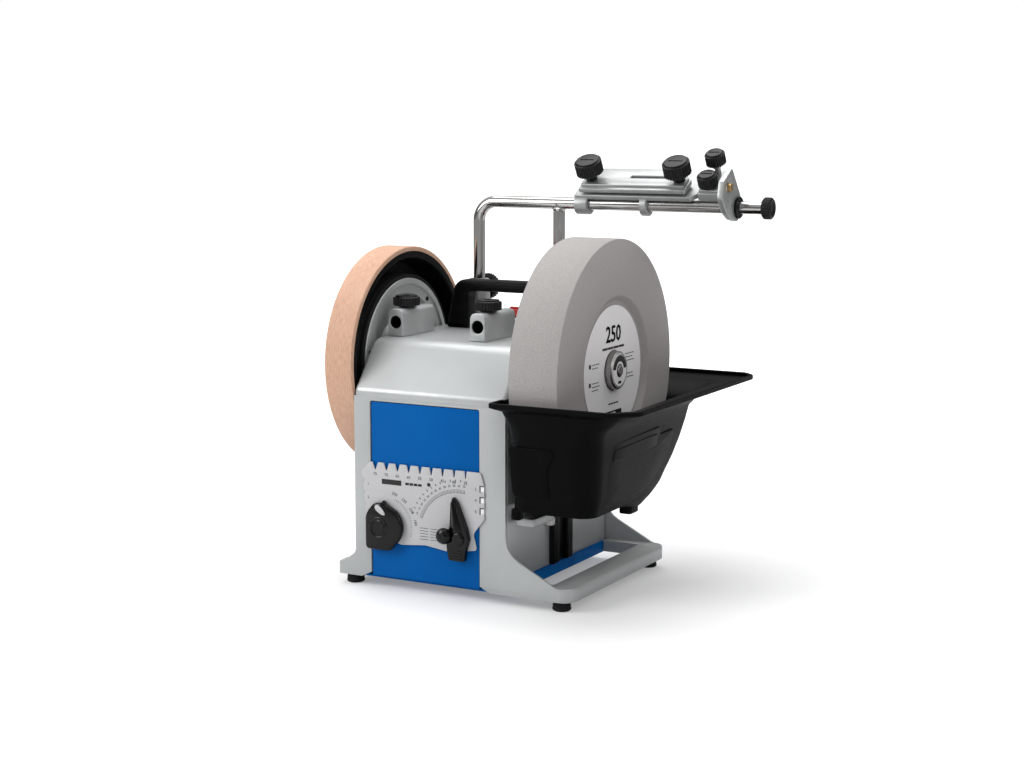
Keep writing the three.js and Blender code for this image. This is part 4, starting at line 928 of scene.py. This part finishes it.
column = rounded([(-61.7, -20), (-61.7, 20), (-56.1, 20, 1), (-56.1, 8.4, 0.6), (-60, 7.4), (-60, -7.4),
                  (-56.1, -8.4, 0.6), (-56.1, -20, 1)])
piece("lift_column", joined(
    slab("z", column, -191.5, -60, 0.4),
    moved(grown(BARS, BLACK, Count=2, Step=(0, 24.4, 0), Size=(0.8, 1.6, 128.0)),
          Matrix.Translation((-56.3, -12.2, -126)))),
    "housing", BLACK, ("guide_column",))
arm = rounded([(-55.8, -99), (-37, -99, 3), (-36, -60, 3), (-44, -50, 3), (-36, -38, 3), (-36, 7), (-55.8, 7)], 1)
piece("lift_arm", joined(
    slab("z", arm, -137.8, -129.9, 1.0, (circle(3.3, (-47.8, -48), 28),)),
    box((-59.6, -55.9), (-7.1, 7.1), (-137.8, -79.9), 0.6, 1)),
    "trough", CAST, ("lift_bracket",))
piece("lift_thumb_nut", joined(
    lathe([(0, -146), (5, -146), (5.6, -145.4), (5.6, -138.6), (5, -138.1), (3, -138.1), (3, -133.5), (0, -133.5)],
          "z", (-47.8, -48, 0), 40, 0.3), ribs(20, 5.55, 0.42, 6.2, "z", (-47.8, -48, -142))),
    "lift_nut", STEEL, ("lift_nut",))

# ------------------------------------------------------------------ angle gauge

left, right, top, bottom = GAUGE_LEFT, GAUGE_RIGHT, GAUGE_TOP, GAUGE_TOP - 79
plate = [(left + 10, top, 3)]
for i in range(9):
    x, half = left + 16 + 12.5 * i, 3.2 - 0.25 * i
    plate += [(x - half, top, 0.4), (x - 0.5, top - 7), (x + 0.5, top - 7), (x + half, top, 0.4)]
plate += [(right - 4, top, 3)]
step_tops = [top - 13 - 10.5 * i for i in range(3)]
for z in step_tops:
    plate += [(right, z, 0.8), (right - 4, z, 0.4), (right - 4, z - 5.5, 0.4), (right, z - 5.5, 0.8)]
plate += [(right, top - 44, 4), (right - 12, top - 59, 5), (right - 8, bottom + 4.5, 3),
          (right - 39, bottom, 20), (left + 72, bottom + 3.5, 24), (left + 45, bottom + 1, 8),
          (left + 14, top - 70, 6), (left + 5, top - 53, 3)]
for i in range(3):
    z = top - 44 + 11 * i
    plate += [(left + 4.4 - 1.2 * i, z, 1), (left + 6.6 - 1.2 * i, z + 3, 1.5), (left + 3.6 - 1.2 * i, z + 6, 1)]
plate += [(left, top - 9.5, 3)]
piece("gauge_face", slab("y", rounded(plate, 0.4, 3), GAUGE_Y, -108.3, 0.3), "housing", SCALE,
      ("gauge_plate",))

for i, z in enumerate(step_tops):
    step = box((right - 3.8, right - 0.3), (-109.5, -108.4), (z - 5.3, z - 0.2), 0.3, 0.4)
    piece(f"gauge_step_{i + 1}", step, "housing", LABEL)

INK_Y = GAUGE_Y - 0.03
POINTER_PIVOT, DIAL_PIVOT = (-110.5, -153.0), (-191.0, -150.0)
to_face = Matrix.Translation((0, INK_Y, 0))


def figure(text, size, x, z):
    return moved(words(text, size), Matrix.Translation((x, INK_Y, z)))


def figure_on_arc(text, size, pivot, radius, degrees):
    """A figure that stands on an arc round a pivot, its foot towards the pivot."""
    a = math.radians(degrees)
    where = (pivot[0] + radius * math.cos(a), INK_Y, pivot[1] + radius * math.sin(a))
    return moved(words(text, size), Matrix.Translation(where) @ Matrix.Rotation(math.pi / 2 - a, 4, "Y"))


def marks(pivot, start, sweep, count, radius, length, width):
    sizes = {"Count": count, "Start": math.radians(start), "Sweep": math.radians(sweep), "Radius": radius,
             "Length": length, "Width": width, "Thickness": 0.12}
    return moved(grown(MARKS, INK_AND_STEP_SHADE, **sizes), Matrix.Translation((pivot[0], INK_Y, pivot[1])))


figures = [figure(str(75 - 5 * i), 4.2, left + 16 + 12.5 * i, top - 11.5) for i in range(9)]
figures += [figure_on_arc(str(10 + 5 * i), 3.1, POINTER_PIVOT, 49.5, 158 - 6.2 * i) for i in range(13)]
figures += [figure_on_arc(mark, 4.2, DIAL_PIVOT, 33, 74 - 21 * i)
            for i, mark in enumerate(("250", "230", "200", "180"))]
for i, mark in enumerate(("2", "4", "6")):
    figures += [figure(mark, 4, right - 9, top - 16 - 10.5 * i), figure(str(1 + i), 4, left + 8, top - 22 - 13 * i)]
ticks_and_step_shade = [marks(POINTER_PIVOT, 160, -78, *sizes)
         for sizes in ((40, 44.8, 3.0, 0.34), (14, 54.4, 2.2, 0.7), (90, 43.0, 0.3, 0.8))]
ticks_and_step_shade.append(marks(DIAL_PIVOT, 70, -86, 20, 28.0, 2.0, 0.3))
for x, length in ((-149, 9.0), (-137, 10.0)):
    ticks_and_step_shade.append(moved(grown(BARS, INK_AND_STEP_SHADE, Count=5, Step=(0, 0, -2.7), Size=(length, 0.1, 0.45)),
                       Matrix.Translation((x, INK_Y, -148))))
ticks_and_step_shade.append(moved(thin_mark([(-196, -109.5), (-174, -109.5), (-174, -104.5), (-196, -104.5)]), to_face))
ticks_and_step_shade.append(moved(lines(-170, -107, (19,), width=2.4), to_face))
# Dark L-shaped marks along the top and left edge of each step notch: painted shade of the recessed step.
for z in step_tops:
    ticks_and_step_shade.append(moved(thin_mark([
        (right - 4.9, z + 0.9), (right - 0.4, z + 0.9), (right - 0.4, z + 0.1), (right - 4.1, z + 0.1),
        (right - 4.1, z - 5.6), (right - 4.9, z - 5.6)]), to_face))
ticks_and_step_shade.append(moved(slab("y", circle(1.9, (-143.5, -105.5), 24), -0.05, 0.05, 0.02), to_face))
piece("gauge_print_and_step_shade", joined(*figures, *ticks_and_step_shade), "housing", INK_AND_STEP_SHADE)

round_side = [(-191.5 + 20.9 * math.cos(a), -150 + 20.9 * math.sin(a))
              for a in (math.radians(66 - 7 * k) for k in range(18))]
dial_edge = rounded(round_side + [(-184, -173.4, 16), (-212, -173.4, 5), (-212, -140, 14), (-203, -128, 10),
                                  (-195, -127.2, 1), (-192, -124.6, 0.5), (-189, -128, 1)], 0, 6)
lean = Matrix.Translation((-195.2, 0, -133.6)) @ Matrix.Rotation(math.radians(38), 4, "Y")
window = [(6.6 * math.cos(a) + 1.0 * math.cos(2 * a), 3.0 * math.sin(a))
          for a in (math.tau * k / 32 for k in range(32))]
hub = (-196.4, 0, -151.2)
piece("dial_body", joined(
    slab("y", dial_edge, -116.3, -110.1, 2.4),
    lathe([(0, -117.1), (6.4, -117.1), (7.8, -116.2), (8.2, -114.6), (0, -114.6)], "y", hub, 48, 0.5),
    lathe([(8.8, -116.6), (9.6, -116.9), (10.4, -116.4), (10.4, -115.4), (8.8, -115.4)], "y", hub, 56, 0.2),
    slab("y", rounded([(-209, -146.6, 1.5), (-201, -143, 3), (-187, -146.8, 4), (-188, -149, 1), (-201, -146.6, 3),
                       (-209, -149.6, 1)], 0.8), -117.0, -115, 0.7)),
    "gauge_dial", GLOSS, ("gauge_dial",), 40)
piece("dial_window", slab("y", window, -116.7, -115.4, 0.3), "gauge_dial", SCALE, at=lean)

px, pz = POINTER_PIVOT
blade = [(px - 10, pz + 4, 3), (px - 7.5, pz + 12, 3), (px - 6.5, pz + 33, 2), (px - 4, pz + 39.6, 1.0),
         (px + 1, pz + 34, 2), (px + 11, pz + 10, 4), (px + 13.4, pz, 4), (px + 9.5, pz - 13, 3),
         (px + 8.6, pz - 21.6, 2), (px - 8.6, pz - 21.6, 2), (px - 10.4, pz - 12, 3), (px - 11.6, pz - 3, 3)]
ridge = [(-6.6, 5), (-5.6, 30), (-3.9, 37.4), (0.4, 32), (9.4, 8)]
crest = [(-1.6, 6), (-2.8, 29), (-3.6, 34), (-2.6, 30), (0.4, 6)]
crest_line = loft([[(px + x, GAUGE_Y - 5.4, pz + z) for x, z in ridge],
                   [(px + x, GAUGE_Y - 8.6, pz + z) for x, z in crest]])
grooves = grown(BARS, KNOB, Count=4, Step=(0, 0, -2.5), Size=(13.0, 1.4, 1.2))
piece("pointer_body", joined(
    slab("y", rounded(blade, 2, 5), GAUGE_Y - 6.1, GAUGE_Y - 0.3, 1.4), crest_line,
    lathe([(0, -8.6), (5, -8.6), (6.6, -7.6), (7, -5.6), (0, -5.6)], "y", (px + 2, GAUGE_Y, pz), 40, 0.6),
    lathe([(0, -13.9), (3.6, -13.9), (6.4, -12.2), (7.8, -9.4), (7.8, -7.4), (6.6, -6), (6, -2), (0, -2)], "y",
          (px - 12, GAUGE_Y, pz + 2), 44, 1.0),
    moved(grooves, Matrix.Translation((px, GAUGE_Y - 6.1, pz - 12.2)))),
    "gauge_pointer", GLOSS, ("gauge_pointer",), 30)

# ------------------------------------------------------------------ straight-edge jig

lower = rounded([(-80, -4), (44, -4, 2), (51.5, 5, 2), (51.5, 33), (2, 34, 3), (-50, 33, 3), (-57, 16, 3),
                 (-80, 16, 3)], 1)
end_plate = rounded([(-18, 40, 3), (6, 40.6, 4), (12, 6, 4), (5, -11, 6), (-7, -11.4, 6), (-18, -2, 10),
                     (-26, 10.6, 14), (-29, 28, 5)], 3, 5)
piece("jig_casting", joined(
    slab("z", lower, 7.5, 12.5, 0.8, [circle(3.4, stud, 28) for stud in STUDS]),
    box((51.4, 84.5), (-2, 14), (7.5, 16), 0.9, 1.5), box((51.4, 71.5), (13, 40), (7.5, 16), 0.9, 2),
    slab("z", rounded([(52, 1), (84, -1), (84, 4), (70, 12), (56, 12)], 1.5), 15.4, 18.2, 0.8,
         (circle(3.4, (61, 8), 24),)),
    slab("x", end_plate, 84, 90, 0.9, (circle(9.2), circle(1.7, (-17, 17), 20), circle(4.3, (-12, 30), 28))),
    lathe([(BORE, -80), (10, -80), (10.5, -79.4), (10.5, -66.6), (10, -66), (BORE, -66)], "x", (0, 0, 0), 56, 0.3),
    slab("x", rounded([(-6, 2), (6, 2), (8, 8.4), (-4, 8.4)]), -79.6, -66.4, 0.6),
    lathe([(BORE, -9), (10.4, -9), (10.5, -8.4), (10.5, -2.6), (10.4, -2), (BORE, -2)], "x", (0, 0, 0), 56, 0.3),
    slab("x", rounded([(-5, 5), (5, 5), (8, 8.4), (-4, 8.4)]), -9, -2, 0.6)),
    "jig", CAST, ("jig_body",), at=JIG)
clamp = rounded([(-74, -3, 2), (40, -3, 2), (40, 17, 3), (4, 33, 4), (-59, 33, 4), (-74, 17, 3)], 1)
clamp_top = rounded([(-73, 1.4, 2), (38, 1.4, 2), (38, 17, 3), (3, 32, 4), (-58, 32, 4), (-73, 17, 3)], 1)
slot = rounded([(-24, 14.5), (22, 14.5), (22, 19), (-24, 19)], 2.2, 6)
holes = (slot, *(circle(3.35, stud, 28) for stud in STUDS))
piece("clamp_jaw", joined(slab("z", clamp, 15, 19.6, 0.8, holes), slab("z", clamp_top, 19, 22, 0.9, holes)),
      "jig_clamp", CAST, ("jig_clamp_plate",), at=JIG)
piece("bar_bushing", lathe([(BORE, 84), (9, 84), (9, 90.3), (10, 90.3), (10.5, 90.8), (10.5, 92), (10, 92.5),
                            (BORE, 92.5)], "x", (0, 0, 0), 56), "jig_slider", BLACK,
      ("jig_bushing",), at=JIG)
for name, stud in zip(("left", "right"), STUDS):
    knob = joined(grip_knob("z", (*stud, 0), 22.3, 13.9, 15, 7, 5.7, 32),
                  lathe([(0, 8.5), (3, 8.5), (3, 23), (0, 23)], "z", (*stud, 0), 24, 0.2))
    piece(f"{name}_clamp_grip", knob, f"{name}_clamp", KNOB, (f"{name}_clamp_knob",), at=JIG)
for name, x, y, z in (("far", 61, 34, 27), ("near", 61, 8, 19)):
    knob = grip_knob("z", (x, y, 0), z, 10.3, 13, 0.4, 6, 26)
    piece(f"{name}_adjust_grip", knob, f"{name}_adjust", KNOB, (f"{name}_adjust_knob",), at=JIG)
    piece(f"{name}_adjust_stud", lathe([(0, 11.5), (3, 11.5), (3, z - 3), (4.6, z - 3), (4.6, z + 1), (0, z + 1)],
                                       "z", (x, y, 0), 32, 0.3), f"{name}_adjust", STEEL, at=JIG)
piece("stop_ring", lathe([(1.6, 90.2), (3.6, 90.2), (4, 90.6), (4, 93.6), (3.5, 94), (1.6, 94)], "x",
                         (0, -12, 30), 40, 0.2), "stop_screw", BRONZE, ("stop_screw",), at=JIG)
piece("stop_centre", lathe([(0, 90.3), (1.7, 90.3), (1.7, 93.4), (1.2, 93.8), (0, 93.8)], "x", (0, -12, 30), 28),
      "stop_screw", STEEL, at=JIG)
piece("jig_lock_grip", grip_knob("y", (-73, 0, 0), 10.8, 12.7, 10, 6.2, 4, 28), "jig_lock", KNOB,
      ("jig_lock_knob",), at=JIG)

# ------------------------------------------------------------------ studio

floor = bpy.data.objects.new("studio_floor", bpy.data.meshes.new("studio_floor"))
bpy.context.scene.collection.objects.link(floor)
bm = bmesh.new()
bmesh.ops.create_grid(bm, x_segments=1, y_segments=1, size=40)
bm.to_mesh(floor.data)
bm.free()
paper = Finish("studio_paper", specular_ior_level=0.1, emission_strength=1.0)
far_x, far_y, _ = paper.xyz()
glow = (far_x * far_x + far_y * far_y).math("SQRT").between(0.15, 1.5)
glow = (0.25 + glow * 0.75) * paper.node("ShaderNodeLightPath", out="Is Camera Ray")
paper.set(base_color=paper.mix(paper.noise(3, 2) * 0.1, (0.72, 0.72, 0.725), (0.70, 0.70, 0.705)), roughness=0.9,
          emission_color=paper.mix(glow, (0.0, 0.0, 0.0), (1.0, 1.0, 1.0)))
floor.data.materials.append(paper.material)

world = bpy.data.worlds.new("soft_room")
bpy.context.scene.world = world
world.use_nodes = True
bpy.context.scene.view_settings.view_transform = "Standard"
sky = Graph(world.node_tree)
sky.tree.nodes.clear()
towards = sky.node("ShaderNodeTexCoord", out="Generated")
height = sky.node("ShaderNodeSeparateXYZ", None, {0: towards}, 2)
seen = sky.node("ShaderNodeLightPath", out="Is Camera Ray")
overhead = height.between(-0.05, 0.8) * 0.5 + 0.1
room = sky.node("ShaderNodeBackground", None, {
    "Color": (1.0, 1.0, 1.0, 1.0), "Strength": seen + (1 - seen) * overhead})
sky.tree.links.new(room.socket, sky.tree.nodes.new("ShaderNodeOutputWorld").inputs["Surface"])


def soft_light(name, place, aim, size, power):
    lamp = bpy.data.lights.new(name, "AREA")
    lamp.shape, lamp.size, lamp.size_y, lamp.energy = "RECTANGLE", size[0], size[1], power
    holder = bpy.data.objects.new(name, lamp)
    holder.location = place
    holder.rotation_euler = (Vector(aim) - Vector(place)).to_track_quat("-Z", "Y").to_euler()
    bpy.context.scene.collection.objects.link(holder)


soft_light("key", (-1.3, -1.35, 1.05), (-0.15, 0, 0.2), (1.0, 1.0), 20)
soft_light("fill", (2.1, -1.0, 1.3), (0, 0, 0.2), (0.9, 1.6), 11)
soft_light("top", (-0.2, 0.4, 2.0), (0, 0, 0.1), (1.8, 1.6), 31)

camera = bpy.data.objects.new("camera", bpy.data.cameras.new("camera"))
camera.data.lens, camera.data.sensor_width = 65.1, 36
camera.data.clip_start, camera.data.clip_end = 0.05, 100
camera.location = shaft + Vector((0.7482, -1.5795, 0.2409))
azimuth, elevation = math.radians(28.625), math.radians(8.287)
camera.rotation_euler = (math.pi / 2 - elevation, 0, azimuth)
bpy.context.scene.collection.objects.link(camera)
bpy.context.scene.camera = camera
